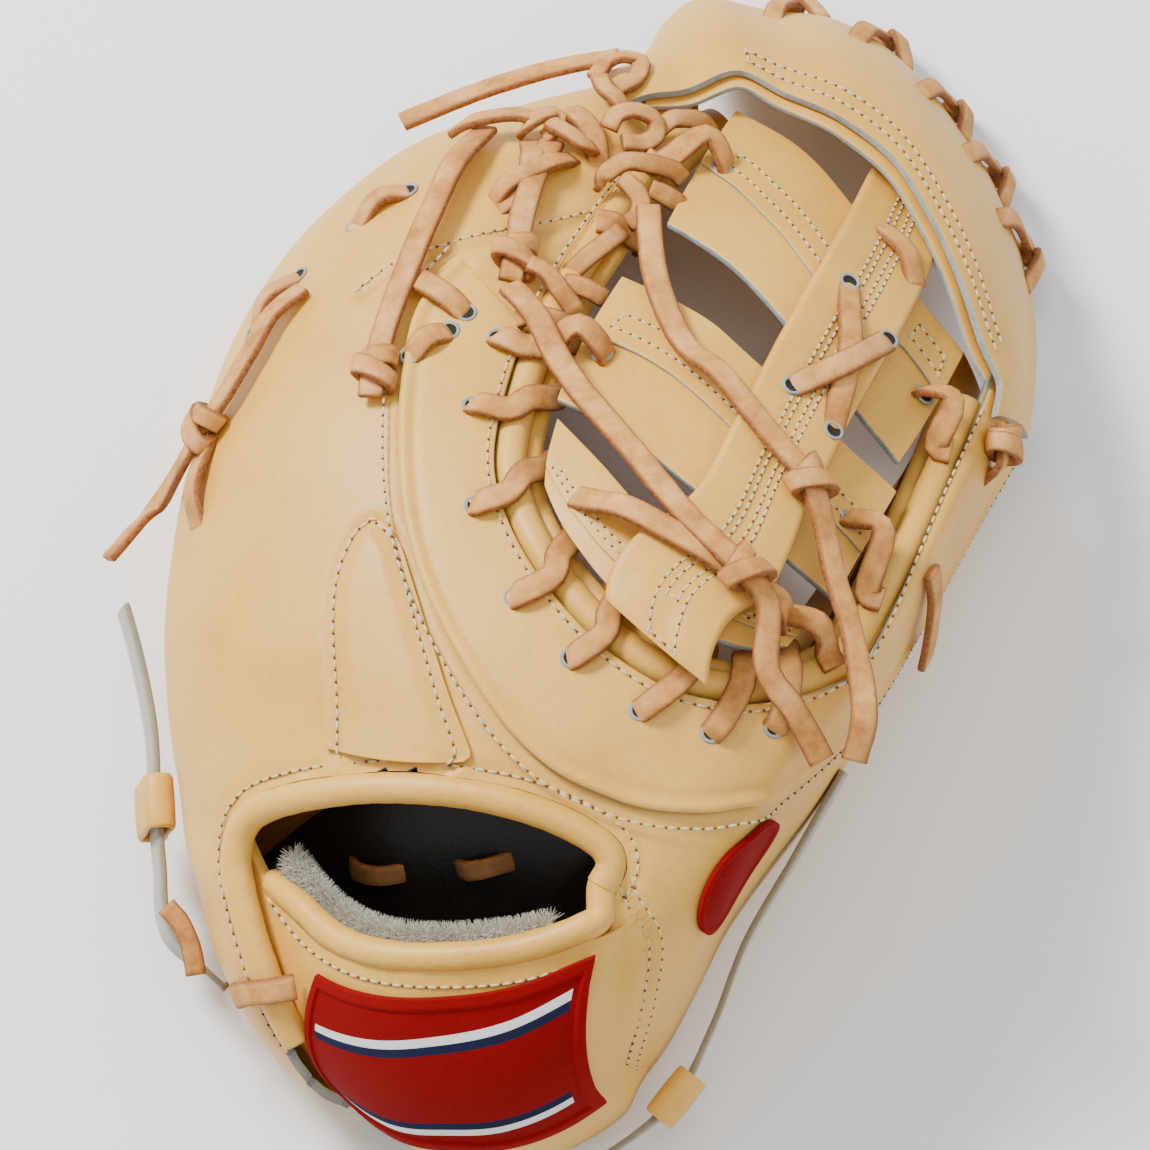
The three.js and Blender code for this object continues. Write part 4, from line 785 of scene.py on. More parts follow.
def backRelief(a, b, top):
    shape = a.shape
    points = top.reshape(-1, 3)
    out = 0.35 * ripple(points, 34, 3) + 0.22 * ripple(points, 13, 5)
    for name, (depth, width) in seamGrooves.items():
        away = nearLine(points, seamLines[name])
        swollen = 0.35 * depth * np.exp(-((away - 3.4) / 2.6) ** 2)
        out = out - depth * np.exp(-(away / width) ** 2) + swollen
    for name, offset, height in (("heel", 2.6, 0.7), ("pad", 3.4, 0.6)):
        away = nearLine(points, seamLines[name])
        out = out + height * np.exp(-((away - offset) / 1.1) ** 2)
    flat, down = a.reshape(-1), b.reshape(-1)

    def nearTo(along, reach, downAt, downReach):
        return np.exp(-((flat - along) / reach) ** 2), np.exp(-((down - downAt) / downReach) ** 2)
    foldNear, pullNear = nearTo(0.47, 0.03, 0.62, 0.2), nearTo(0.20, 0.05, 0.35, 0.18)
    folds = np.sin(flat * 150 + 3 * np.sin(down * 9)) * foldNear[0] * foldNear[1]
    pulled = np.sin(down * 46 + flat * 60) * pullNear[0] * pullNear[1]
    out = out + 0.6 * folds + 0.35 * pulled
    return (np.clip(out, -1.6, 0.45) * ease(1.0 - down, 0.0, 0.05)).reshape(shape)


backSteps = (320, 90)
hole = np.concatenate([smoothRoute(openingSeam, 60), np.array(underStrap)])


def insideHole(x, y):
    inside = np.zeros(np.shape(x), bool)
    for (x0, y0), (x1, y1) in zip(hole, np.roll(hole, -1, axis=0)):
        if y0 != y1:
            inside ^= ((y0 > y) != (y1 > y)) & (x < (x1 - x0) * (y - y0) / (y1 - y0) + x0)
    return inside


def backRegion(u, v):  # the grid, its corners near the hole drawn onto the hole's edge
    cells = np.array(backSteps, float)
    places = np.stack([u, v], -1) * cells
    best = np.full(u.shape, 1e9)
    target = places.copy()
    for p, q in zip(hole * cells, np.roll(hole, -1, axis=0) * cells):
        span = q - p
        f = np.clip(((places - p) @ span) / max(span @ span, 1e-9), 0, 1)
        spot = p + f[..., None] * span
        away = np.linalg.norm(places - spot, axis=-1)
        target = np.where((away < best)[..., None], spot, target)
        best = np.minimum(best, away)
    inner = (u > 0) & (u < 1) & (v > 0) & (v < 1)
    places = np.where(((best < 0.62) & inner)[..., None], target, places)
    return places[..., 0] / cells[0], places[..., 1] / cells[1]


def keptCells(a, b):
    def middle(x):
        return (x[:-1, :-1] + x[1:, :-1] + x[:-1, 1:] + x[1:, 1:]) / 4
    return ~insideHole(middle(a), middle(b))


slabPiece("back_leather", "body", backRegion, backSteps, -thickness["back"], 0, "leather", "back_shell",
          raw="rawEdge", relief=backRelief, floor=restFlat, keep=keptCells)


def palmRelief(a, b, top):
    return np.clip(swells(0.3, 26, 11, 0)(a, b, top), -0.4, 0.2) * ease(1 - b, 0, 0.06)


def wholeFace(u, v):
    return u, v


slabPiece("palm_leather_shell", "palm", wholeFace, (260, 60), -thickness["palm"], 0, "palmLeather",
          "palm_shell", relief=palmRelief, floor=restFlat)
linerTable = [[0.475, 0.10, 0.475, 0.78], [0.68, 0.10, 0.68, 0.78]]
linerLift = 1.7
slabPiece("hand_lining", "palm", between(linerTable), (90, 60), linerLift, linerLift + thickness["liner"],
          "liner", "hand_liner", relief=swells(0.5, 16, 23, 0.2))
print("shells made")


def panelRelief(a, b, top):
    points = top.reshape(-1, 3)
    edge = nearLine(points, beside("body", panelSeam, 0.0, panelTop))
    ridge, groove = 0.75 * np.exp(-((edge - 1.5) / 1.0) ** 2), 0.35 * np.exp(-((edge - 3.9) / 1.1) ** 2)
    out = 0.22 * ripple(points, 15, 31) + ridge - groove
    return np.clip(out, -0.6, 0.9).reshape(a.shape)


def panelRegion(u, v):
    row = rowAt(panelTable, u)
    return row[..., 0], row[..., 1] * (0.01 + 0.99 * v)


slabPiece("side_panel", "body", panelRegion, (300, 26), panelLift, panelTop, "leather", "web_side_panel",
          raw="rawEdge", relief=panelRelief)


def padRelief(a, b, top):
    points = top.reshape(-1, 3)
    inset = nearLine(points, beside("body", padLine, 0.0, layerGap + thickness["pad"]))
    out = 1.1 * ease(inset, 1.0, 5.5) + 0.2 * ripple(points, 12, 37) - 0.5 * np.exp(-(inset / 1.2) ** 2)
    return out.reshape(a.shape)


slabPiece("back_pad", "body", between(padTable), (90, 30), layerGap, layerGap + thickness["pad"], "leather",
          "finger_pad", relief=padRelief)


# Rolls: bindings, the opening's border, the strap's border
def bindingPiece(name, node, aside, drop, radius, seed):
    alongs = np.linspace(1 / bodySteps, (bodySteps - 1) / bodySteps, 340)
    inward = notchFrame(alongs)[2]
    centre = bindingCentre(alongs, aside, drop)
    turns = 2 * np.pi * np.arange(18) / 18
    cosines, sines = np.cos(turns)[None, :, None], np.sin(turns)[None, :, None]
    rough = 1 + 0.035 * ripple(centre, 5, seed)[:, None]
    section = inward[:, None] * cosines + np.array([0, 0, 1.0]) * sines
    return ringPiece(name, centre[:, None] + radius * rough[..., None] * section, "leather", node)


bindingPiece("outer_binding", "back_binding", binding["in"] - 0.3, binding["drop"],
             rollRadius["back"] + 0.9, 41)
bindingPiece("inner_binding", "palm_binding", palmBindingIn, palmBindingDrop, rollRadius["palm"], 43)


def rollPiece(name, node, points, radius, seed):
    centres = catmull(points, 220)
    rough = radius * (1 + 0.04 * ripple(centres, 4.5, seed))
    return ringPiece(name, tubeRings(centres, rough, 16), "leather", node)


openingCentres = beside("body", openingLine, -(rollRadius["opening"] + layerGap), -thickness["back"] / 2)
rollPiece("opening_border", "opening_roll", openingCentres, rollRadius["opening"] + 0.7, 47)

# Wrist strap
strapDive = -(thickness["back"] / 2 + rollRadius["opening"] + 6 * fitGap)
strapTop = 1.5 * layerGap + thickness["strap"]


def strapHeight(u):
    return strapDive + (strapTop - strapDive) * ease(u, 0.08, 0.55)


def strapShare(u):  # the strap starts a little before its table's first row
    return -0.08 + 1.08 * u


def strapFace(u, v):  # the strap runs into the leather at its right end and at its foot
    top = strapHeight(u)
    return top - (top - 0.35) * np.maximum(ease(u, 0.90, 1.0), ease(v, 0.80, 1.0) * (top > 0.35))


def strapRegion(u, v):  # its left end goes on under the opening's border
    at, turn, firstStep, footDown = between(strapTable), 1 - 2 / 6, 0.03, 0.88
    u, across = strapShare(u), np.minimum(v / turn, 1)
    past = np.minimum(u, 0) / firstStep
    start, inner = at(u * 0.0, across), at(u * 0.0 + firstStep, across)
    along, down = at(np.maximum(u, 0), across)
    along, down = along + past * (inner[0] - start[0]), down + past * (inner[1] - start[1])
    return along, down + (footDown - down) * np.maximum(0, (v - turn) / (1 - turn))


def strapUpper(u, v):
    return strapFace(strapShare(u), v)


slabPiece("strap_leather", "body", strapRegion, (120, 60), lambda u, v: strapUpper(u, v)
          - thickness["strap"],
          strapUpper, "leather", "wrist_strap", relief=swells(0.3, 14, 53, 0.1))
strapEdge = np.array(strapTable)[:, :2]
strapEdgeLift = strapHeight(np.linspace(0, 1, len(strapTable))) - thickness["strap"] / 2


def besideRow(route, aside, lift):  # the part's own headings, from each stop's neighbours
    points = []
    for i, (a, b) in enumerate(route):
        before, after = route[max(i - 1, 0)], route[min(i + 1, len(route) - 1)]
        heading = unit(bodyPoint(*after) - bodyPoint(*before))
        out = normalOn("body", a, b)
        points.append(raised("body", a, b, lift[i]) + unit(np.cross(out, heading)) * aside)
    return np.array(points)


strapCentres = besideRow(strapEdge, rollRadius["strap"] + fitGap, strapEdgeLift)[1:-1]
strapStart = strapCentres[0] + (strapCentres[0] - strapCentres[1]) * 0.8 - np.array([0, 0, 2.0])
openingEnd, openingBefore = openingCentres[-1], openingCentres[-3]
bendReach = 3.5
strapBend = ((strapCentres[-1] + openingEnd) / 2 + unit(openingEnd - openingBefore) * bendReach
             + unit(strapCentres[-1] - strapCentres[-2]) * bendReach)
strapRoll = [strapStart, *strapCentres, strapBend, openingEnd, openingCentres[-2], openingCentres[-3]]
rollPiece("strap_border", "strap_roll", np.array(strapRoll), rollRadius["strap"] + 0.75, 59)
fleeceTable = [[a, b - 0.055, a + (c - a) * 0.4, b + (d - b) * 0.4] for a, b, c, d in strapTable[:6]]
fleeceDrop = thickness["strap"] + 2 * layerGap + 0.2


def fleeceTop(u, v):
    return strapHeight(0.7 * u) - fleeceDrop


def fleeceFoot(u, v):
    return fleeceTop(u, v) - thickness["fleece"]


fleece = slabPiece("fleece_backing", "body", between(fleeceTable), (80, 24), fleeceFoot, fleeceTop,
                   "fleece", "strap_fleece", relief=swells(0.3, 7, 61, 0.2))

# Embroidered patch: border, inner line and stripes; its lettering is left out
patchTable = [
    [0.28, 0.12, 0.23, 0.95], [0.48, 0.10, 0.41, 0.85], [0.69, 0.07, 0.64, 0.74], [0.90, 0.04, 0.93, 0.67],
]
stripes = [  # each pair: how it slants, then where its two bands start and end
    (0.21, [(0.315, 0.368, "white"), (0.368, 0.420, "navy")]),
    (0.15, [(0.850, 0.902, "navy"), (0.902, 0.952, "white")]),
]


def stripedCloth():  # twill with two slanting pairs of stripes, by the piece's own shares
    material = looks["red"].copy()
    material.name = "stripedTwill"
    tree = material.node_tree
    shader = tree.nodes["Principled BSDF"]
    colour = shader.inputs["Base Color"].links[0].from_socket
    shareNode = addNode(tree, "ShaderNodeAttribute", attribute_name="shares")
    split = addNode(tree, "ShaderNodeSeparateXYZ", {"Vector": shareNode.outputs["Vector"]}).outputs
    for slant, bands in stripes:
        place = mathNode(tree, "MULTIPLY_ADD", split["X"], slant, split["Y"])
        for start, end, key in bands:
            over = mathNode(tree, "GREATER_THAN", place, start)
            below = mathNode(tree, "LESS_THAN", place, end)
            colour = mixColour(tree, mathNode(tree, "MULTIPLY", over, below), colour, colours[key])
    setInputs(tree, shader, {"Base Color": colour})
    return material


looks["striped"] = stripedCloth()
patchPlace = between(patchTable)
patch = {"lift": 1.4 * layerGap, "long": 74, "wide": 38, "border": 2.6, "plain": 4.2, "rise": 0.7}


def patchEdge(u, v):  # how far inside the patch's edge, in millimetres
    return np.minimum(np.minimum(u, 1 - u) * patch["long"], np.minimum(v, 1 - v) * patch["wide"])


def patchPaint(u, v):
    border = patchEdge(u, v)
    kind = np.zeros(u.shape, int)
    kind[border < patch["plain"]] = 2
    kind[border < patch["border"]] = 1
    return kind


def patchFoot(u, v):
    return strapHeight(patchPlace(u, v)[0]) + patch["lift"]


def patchTop(u, v):
    return patchFoot(u, v) + thickness["patch"] + patch["rise"] * (1 - ease(patchEdge(u, v), 2.2, 2.9))


slabPiece("wrist_emblem", "body", lambda u, v: between(strapTable)(*patchPlace(u, v)), (170, 92),
          patchFoot, patchTop, "striped", "wrist_patch", paint=patchPaint, extra=("satinRed", "red"),
          mark=True)


# Oval patch on the thumb's side
def stepOn(face, a, b, vector):
    at = faces[face][0]
    alongA = (at(a + 0.002, b) - at(a - 0.002, b)) / 0.004
    alongB = (at(a, b + 0.002) - at(a, b - 0.002)) / 0.004
    aa, ab, bb = alongA @ alongA, alongA @ alongB, alongB @ alongB
    av, bv = vector @ alongA, vector @ alongB
    det = aa * bb - ab * ab
    return (bb * av - ab * bv) / det, (aa * bv - ab * av) / det


def ovalPiece(name, node, oval, low, high, look, border, rim):
    a, b, sides, rounds = oval["along"], oval["down"], oval["sides"], oval["rounds"]
    out = normalOn("body", np.float64(a), np.float64(b))
    major = np.array(oval["heading"], float)
    major = unit(major - out * (major @ out))
    minor = np.cross(out, major)
    turns = 2 * np.pi * np.arange(sides) / sides

    def ringAt(radius, lift):
        lengthways = major * (oval["long"] * radius * np.cos(turns))[:, None]
        sideways = minor * (oval["short"] * radius * np.sin(turns))[:, None]
        da, db = stepOn("body", a, b, lengthways + sideways)
        return raised("body", a + da, b + db, np.full(sides, float(lift)))
    radii = np.linspace(0.03, 1, rounds)
    rings = [ringAt(r, high + rim * (1 - ease(1 - r, 0.07, 0.12))) for r in radii]
    rings = np.array(rings + [ringAt(r, low) for r in radii[::-1]])
    polygons = ringPolygons(len(rings), sides)
    kinds = [int(k // sides < rounds and radii[min(k // sides, rounds - 1)] > 0.89)
             for k in range(len(polygons))]
    points = rings.reshape(-1, 3)
    return makePiece(name, points, facingOut(points, polygons), look, node, (border,), kinds)


ovalPatch = {"along": 0.722, "down": 0.385, "long": 17.5, "short": 11.5, "heading": [0.72, 0.62, -0.3],
             "sides": 72, "rounds": 24}
ovalPiece("oval_emblem", "thumb_patch", ovalPatch, layerGap, layerGap + thickness["patch"], "red",
          "satinRed", 0.5)
print("wrist made")

# Web: bars, base, post and band
bars = {
    "web_bar_upper": [
        [0.823, 0.144, 0.984, 0.085], [0.816, 0.310, 0.968, 0.273], [0.800, 0.483, 0.942, 0.459],
        [0.791, 0.616, 0.931, 0.605], [0.789, 0.742, 0.930, 0.739], [0.794, 0.864, 0.945, 0.895]],
    "web_bar_lower": [
        [0.604, 0.120, 0.750, 0.130], [0.597, 0.282, 0.750, 0.324], [0.578, 0.468, 0.740, 0.495],
        [0.576, 0.615, 0.741, 0.632], [0.579, 0.754, 0.744, 0.752], [0.584, 0.880, 0.762, 0.890]],
    "web_base": [
        [0.490, 0.135, 0.582, 0.135], [0.415, 0.190, 0.549, 0.261], [0.340, 0.280, 0.502, 0.427],
        [0.310, 0.480, 0.495, 0.597], [0.330, 0.720, 0.499, 0.755], [0.410, 0.840, 0.540, 0.855]],
}
foldLines = {  # the raw edge of each bar's fold, as shares of its rise from the left end to the right
    "web_bar_upper": [0.44, 0.36, 0.40, 0.52, 0.62, 0.60],
    "web_bar_lower": [0.52, 0.50, 0.54, 0.50, 0.44, 0.40],
    "web_base": [0.30, 0.30, 0.34, 0.36, 0.36, 0.34],
}


def foldAt(name, u):
    return np.interp(u, np.linspace(0, 1, 6), foldLines[name]) + 0.03 * np.sin(9 * u)


for seed, (name, table) in enumerate(bars.items()):
    halfBar, foldThick = thickness["bar"] / 2, 0.85
    slabPiece(name + "_leather", "web", between(table), (140, 34), -halfBar, halfBar - 0.9, "leather", name,
              raw="rawEdge", relief=swells(0.2, 12, 71 + seed, 0.1))

    def foldRegion(u, v, name=name, table=table):
        start = foldAt(name, u)
        return between(table)(0.004 + 0.992 * u, start + (0.996 - start) * v)
    slabPiece(name + "_fold", "web", foldRegion, (140, 22), halfBar - foldThick, halfBar, "leather", (),
              raw="rawEdge", relief=swells(0.22, 10, 75 + seed, -0.05))
postTable = [
    [0.330, 0.228, 0.165, 0.430, 0.6], [0.523, 0.468, 0.438, 0.708, 0.4], [0.658, 0.506, 0.639, 0.722, 0.38],
    [0.776, 0.492, 0.770, 0.712, 0.38], [0.895, 0.468, 0.912, 0.703, 0.3],
    [0.985, 0.440, 0.985, 0.690, -0.27],
]


def postHeight(u):
    return thickness["bar"] / 2 + rowAt(postTable, u)[..., 4] * thickness["post"]


def postRounding(v):
    side = np.clip(np.minimum(v, 1 - v) * 40 / (thickness["post"] / 2), 0, 1)
    return thickness["post"] / 2 * (1 - np.sqrt(np.maximum(1 - (1 - side) ** 2, 0)))


def postTop(u, v):  # with a shallow groove along its middle
    groove = 0.6 * np.exp(-((v - 0.5) / 0.12) ** 2)
    return postHeight(u) + thickness["post"] - postRounding(v) - groove


def bandRelief(a, b, top):
    return swells(0.3, 13, 83, 0)(a, b, top) * ease(1 - b, 0, 0.1) - 0.1


slabPiece("post_leather", "web", between(postTable), (170, 44), lambda u, v: postHeight(u) + postRounding(v),
          postTop, "leather", "web_post", relief=swells(0.25, 11, 81, 0.1), bevel=0.7)
slabPiece("band_leather", "band", wholeFace, (240, 40), -thickness["band"], 0, "leather", "web_band",
          raw="rawEdge", relief=bandRelief)
bandLiningDrop = thickness["band"] + 2 * layerGap
slabPiece("band_lining_leather", "band", lambda u, v: (0.09 + 0.79 * u, -0.05 + 0.90 * v), (200, 30),
          -(bandLiningDrop + thickness["bandLining"]), -bandLiningDrop, "leather", "web_band_lining",
          raw="rawEdge")
print("web made")


# Laces round the notch
overPanel = binding["drop"] + panelTop + laceGap + lace["thick"] / 2 + 0.6
overPalm = rollRadius["palm"] + laceGap + lace["thick"] / 2 + 0.6


def overBindings(fromAlong, toAlong, turns, extra=0.0):
    stops = []
    for i, (which, turn) in enumerate(turns):
        along = fromAlong + (toAlong - fromAlong) * min(1, (i + 1) / (len(turns) - 1))
        look = notchFrame(along)[2] * math.sin(turn) + np.array([0, 0, math.cos(turn)])
        onBack = which == "back"
        aside, drop, over = (binding["in"], binding["drop"], overPanel) if onBack else (
            palmBindingIn, palmBindingDrop, overPalm)
        stops.append((bindingCentre(along, aside, drop) + look * (extra + over), look))
    return stops


fullWrap = [("back", -0.3), ("back", 0.35), ("palm", 0.75), ("palm", 1.5), ("palm", 2.3)]
overBack = [("back", -0.3), ("back", 0.3)]
notchLaces = [
    [0.223, 0.044, 0.190], [0.270, 0.046, 0.228], [0.340, 0.042, 0.292], [0.405, 0.048, 0.366],
    [0.456, 0.040, 0.422], [0.526, 0.040, 0.550], [0.604, 0.040, 0.634], [0.674, 0.042, 0.716],
]
barLaces = {
    "upper_left": [0.078, 0.900, 0.165], "lower_left": [0.213, 0.665, 0.180],
    "upper_right": [0.950, 0.870, 0.840], "lower_right": [0.855, 0.675, 0.825, -0.5],
    "base_right": [0.775, 0.480, 0.800],
}


def barLace(along, rise, across, endLift=1.0):
    end = 0 if across < 0.5 else 1
    near = end + (across - end) * 0.72
    return [
        *overBindings(along, along, overBack, 0.6), onFace("web", rise, near, overBar + 6),
        onFace("web", rise, across, overBar + endLift),
        onFace("web", rise, across + (across - near) * 0.25, -1.6)]


for i, (holeAlong, holeDown, edgeAlong) in enumerate(notchLaces):
    inside = onFace("body", holeAlong, holeDown + 0.004, panelTop - 2.6)
    near = onFace("body", holeAlong, holeDown - 0.008, panelTop + 0.9)
    stops = [inside, near, *overBindings(holeAlong, edgeAlong, fullWrap)]
    lacePiece(f"crotch_lace_{i + 1}", None, f"notch_lace_{i + 1}", 0.2, stops)
for name, places in barLaces.items():
    node = {"lower_left": (), "base_right": "bar_lace_base_right"}.get(name, f"bar_lace_{name}")
    lacePiece(f"bar_tie_{name}", None, node, 0.2, barLace(*places))
lacePiece("tip_crotch_lace", None, "notch_lace_tip", 0.2, overBindings(0.128, 0.118, fullWrap))

fixedLaces = {
    "base_tie": ((), on("web", (0.462, 0.695, overPost + 0.4), (0.462, 0.755, overBar + 5.4),
        (0.470, 0.810, overBar + 0.6))),
    "post_tie_top": ("post_lace_top", on("web", (0.927, 0.548, overPost - 0.7),
        (0.919, 0.619, overPost - 0.2), (0.912, 0.684, overPost - 0.7))),
    "post_tie_cross_1": ("post_lace_cross", on("web", (0.854, 0.552, overPost), (0.796, 0.630, overPost),
        (0.717, 0.691, overPost))),
    "post_tie_cross_2": ((), on("web", (0.722, 0.573, overPost),
        (0.776, 0.636, overPost + 0.8 * lace["thick"]), (0.845, 0.688, overPost))),
    "seam_tie": ("seam_lace", on("body", (0.262, 0.168, panelTop + laceGap + 0.2),
        (0.250, 0.148, panelTop + 0.9), (0.238, 0.124, panelTop + laceGap))),
    "tip_side_tie": ("tip_lace_side", on("body", (0.104, 0.400, 0.3), (0.100, 0.300, 1.5),
        (0.098, 0.180, 1.5), (0.100, 0.100, 0.3))),
    "pinky_tie_upper": ("pinky_lace_upper", on("body", (0.222, 0.444, laceGap), (0.208, 0.425, 1.2),
        (0.197, 0.399, laceGap))),
    "pinky_tie_middle": ("pinky_lace_middle", on("body", (0.275, 0.560, laceGap), (0.262, 0.530, 1.2),
        (0.249, 0.495, laceGap))),
    "heel_tie": ("heel_lace", on("body", (0.522, 0.740, laceGap), (0.526, 0.690, 1.6),
        (0.530, 0.640, 2.8), (0.537, 0.590, 2.4), (0.542, 0.566, 1))),
    "thumb_tie": ("thumb_lace_knotted", on("body", (0.968, 0.150, panelTop + 2.8),
        (0.963, 0.200, panelTop + 3.1), (0.957, 0.300, panelTop + 2.4), (0.950, 0.420, panelTop + 0.3))),
}
for name, (node, route) in fixedLaces.items():
    lacePiece(name, tucked(route, name != "thumb_tie"), node)
thumbStops = stopsOf(fixedLaces["thumb_tie"][1])
knotPieces("thumb_tie_knot", thumbStops[1], unit(thumbStops[2][0] - thumbStops[0][0]), 1.0)

# Laces over the band's outer edge
rimPlaces = [0.400, 0.515, 0.612, 0.694, 0.772]


def rimStops(along, slant=0.026, wrapGap=0.75):
    along = np.float64(along)
    out = unit(bandPoint(along, 1) - bandPoint(along, 0.97))
    look = normalOn("band", along, 0.97)
    edge = raised("band", along, np.float64(1), -thickness["band"] / 2)
    reach = thickness["band"] / 2 + laceGap + lace["thick"] / 2 + 1.4
    rounds = []
    for turn in (1.3, 0.5, -0.5, -1.3):
        way = out * math.cos(turn) + look * math.sin(turn)
        rounds.append((edge + way * reach, way))
    under = onFace("band", along + slant, 0.93, -(thickness["band"] + 2 * laceGap + lace["thick"]))
    return [onFace("band", along - 1.3 * slant, 0.60, -2.0), onFace("band", along - slant, 0.70, wrapGap),
            onFace("band", along - slant / 6, 0.92, 2 * laceGap), *rounds, (under[0], -look)]


for i, along in enumerate(rimPlaces):
    lacePiece(f"rim_tie_{i + 1}", None, f"rim_lace_{i + 1}", 0.2, rimStops(along), width=5.6)
    under = onFace("band", along - 0.02, 0.90, -(thickness["band"] + lace["thick"]))
    turn = rimStops(along)[4][0]
    crossing = [onFace("band", along + step, down, lift)
                for step, down, lift in ((0.036, 0.80, -1.8), (0.024, 0.88, 0.9), (0.010, 0.96, 3.4))]
    crossing += [(turn + unit(turn - under[0]) * 2.4, unit(turn - under[0])), (under[0], -under[1])]
    lacePiece(f"rim_crossing_{i + 1}", None, (), 0.2, crossing, width=5.2)

# Further laces of the finger tip, the heel and the lining
moreLaces = {
    "tip_knot_loop": on("body", (0.080, 0.389, 5), (0.070, 0.417, 7), (0.060, 0.389, 8),
        (0.052, 0.341, 7), (0.062, 0.259, 6), (0.075, 0.255, 6)),
    "tip_knot_strand": on("body", (0.078, 0.389, 5), (0.082, 0.279, 6), (0.080, 0.221, 6),
        (0.077, 0.170, 4)),
    "tip_ring": on("body", (0.093, 0.146, 5), (0.087, 0.156, 7), (0.077, 0.122, 8), (0.068, 0.056, 7),
        (0.070, 0.012, 6), (0.078, 0.019, 5), (0.090, 0.077, 5)),
    "tip_ring_end": [*on("body", (0.065, 0.019, 4), (0.058, 0.012, 7)), *on("free", (0.122, 0.382, 0.549),
        (0.142, 0.384, 0.516), (0.152, 0.381, 0.479))],
    "tip_over_2": on("body", (0.162, 0.448, 2), (0.155, 0.410, 5), (0.145, 0.379, 6), (0.132, 0.341, 6),
        (0.123, 0.314, 4)),
    "tip_over_3": on("body", (0.132, 0.327, 1), (0.128, 0.307, 5), (0.120, 0.297, 6), (0.113, 0.283, 5),
        (0.118, 0.262, 3), (0.123, 0.269, 1)),
    "tip_over_4": on("body", (0.120, 0.273, 5), (0.115, 0.214, 5), (0.110, 0.166, 4), (0.102, 0.142, 1)),
    "tip_cross_2": on("body", (0.167, 0.218, 1), (0.160, 0.207, 3), (0.148, 0.194, 4), (0.132, 0.176, 4),
        (0.113, 0.173, 1)),
    "tip_wrap_1": [*on("body", (0.112, 0.039, 2), (0.112, 0.046, 6), (0.103, 0.029, 9)),
        *on("free", (0.083, 0.328, 0.649), (0.109, 0.328, 0.610), (0.119, 0.326, 0.577))],
    "tip_wrap_2": [*on("body", (0.108, 0.005, 8)), *on("free", (0.065, 0.301, 0.688),
        (0.073, 0.290, 0.684), (0.069, 0.279, 0.681), (0.058, 0.271, 0.688))],
    "tip_wrap_3": on("free", (0.083, 0.308, 0.642), (0.098, 0.304, 0.634), (0.116, 0.299, 0.608)),
    "tip_wrap_4": on("free", (-0.005, 0.223, 0.731), (0.012, 0.232, 0.761), (0.032, 0.246, 0.747),
        (0.051, 0.264, 0.698)),
    "tip_tail_1": [*on("body", (0.183, 0.056, 6), (0.178, 0.019, 6)), *on("free", (-0.014, 0.197, 0.807),
        (0.002, 0.183, 0.785))],
    "tip_tail_2": on("free", (-0.010, 0.210, 0.764), (0.010, 0.203, 0.790), (0.031, 0.199, 0.758)),
    "tip_bar_3": [*on("body", (0.208, 0.025, 3), (0.202, 0.005, 5)), *on("free", (-0.025, 0.172, 0.831),
        (-0.001, 0.169, 0.790))],
    "lining_tie_1": on("palm", (0.480, 0.640, 2.6), (0.484, 0.625, 3.6), (0.488, 0.610, 3.6),
        (0.491, 0.597, 2.6)),
    "lining_tie_2": on("palm", (0.505, 0.532, 2.6), (0.512, 0.512, 4), (0.522, 0.487, 4),
        (0.531, 0.462, 2.6)),
    "lining_tie_3": on("palm", (0.550, 0.408, 2.6), (0.556, 0.390, 4), (0.563, 0.370, 4),
        (0.571, 0.352, 2.6)),
    "heel_side_1": on("free", (-0.441, -0.254, 0.385), (-0.425, -0.266, 0.368), (-0.414, -0.284, 0.345),
        (-0.409, -0.303, 0.322)),
}
for name, route in moreLaces.items():
    onLining = name.startswith("lining")
    route = tucked(route) if onLining or name == "tip_cross_2" else route
    # laces on the lining take the lace darkened with painted shade
    lacePiece(name, route, look="shadedLace" if onLining else "lace", width=5.0)

# Suede adjusting straps and their keepers
adjustWidth = 12
sideStraps = {
    "pinky": [*on("free", (-0.502, 0.003, 0.250, [-1, 0, 0.25]), (-0.485, -0.040, 0.240, [-1, 0, 0.25]),
        (-0.468, -0.100, 0.235, [-1, 0, 0.25]), (-0.462, -0.160, 0.235, [-1, -0.1, 0.25]),
        (-0.456, -0.205, 0.225, [-1, -0.2, 0.25]), (-0.445, -0.260, 0.205, [-1, -0.3, 0.25])),
        *on("body", (0.508, 0.860, 0.5))],
    "thumb": on("body", (0.815, 0.800, -0.1), (0.780, 0.820, 2.2), (0.745, 0.825, 4.5),
        (0.715, 0.825, 6.5), (0.692, 0.830, 8.2), (0.668, 0.845, 8.2), (0.650, 0.860, 7)),
}
for side, route in sideStraps.items():
    stops = stopsOf(route)
    lacePiece(f"{side}_adjuster", None, f"{side}_strap", 0.1, stops, look="suede", width=adjustWidth,
              thick=thickness["adjust"])
    i = {"pinky": 3, "thumb": 4}[side]
    heading = unit(stops[i + 1][0] - stops[i - 1][0])
    out = unit(stops[i][1] - heading * (stops[i][1] @ heading))
    across = unit(np.cross(heading, out))
    wide, high = (size / 2 + 0.75 + thickness["keeper"] / 2 for size in (adjustWidth, thickness["adjust"]))
    loop = []
    for x, z in ((-1, -1), (0, -1.1), (1, -1), (1, 1), (0, 1.1), (-1, 1)):
        reach = across * x * wide + out * z * high
        loop.append((stops[i][0] + reach, unit(reach)))
    lacePiece(f"{side}_loop", None, f"{side}_keeper", 0.05, loop, True, "leather", 14, thickness["keeper"])
print("laces made")
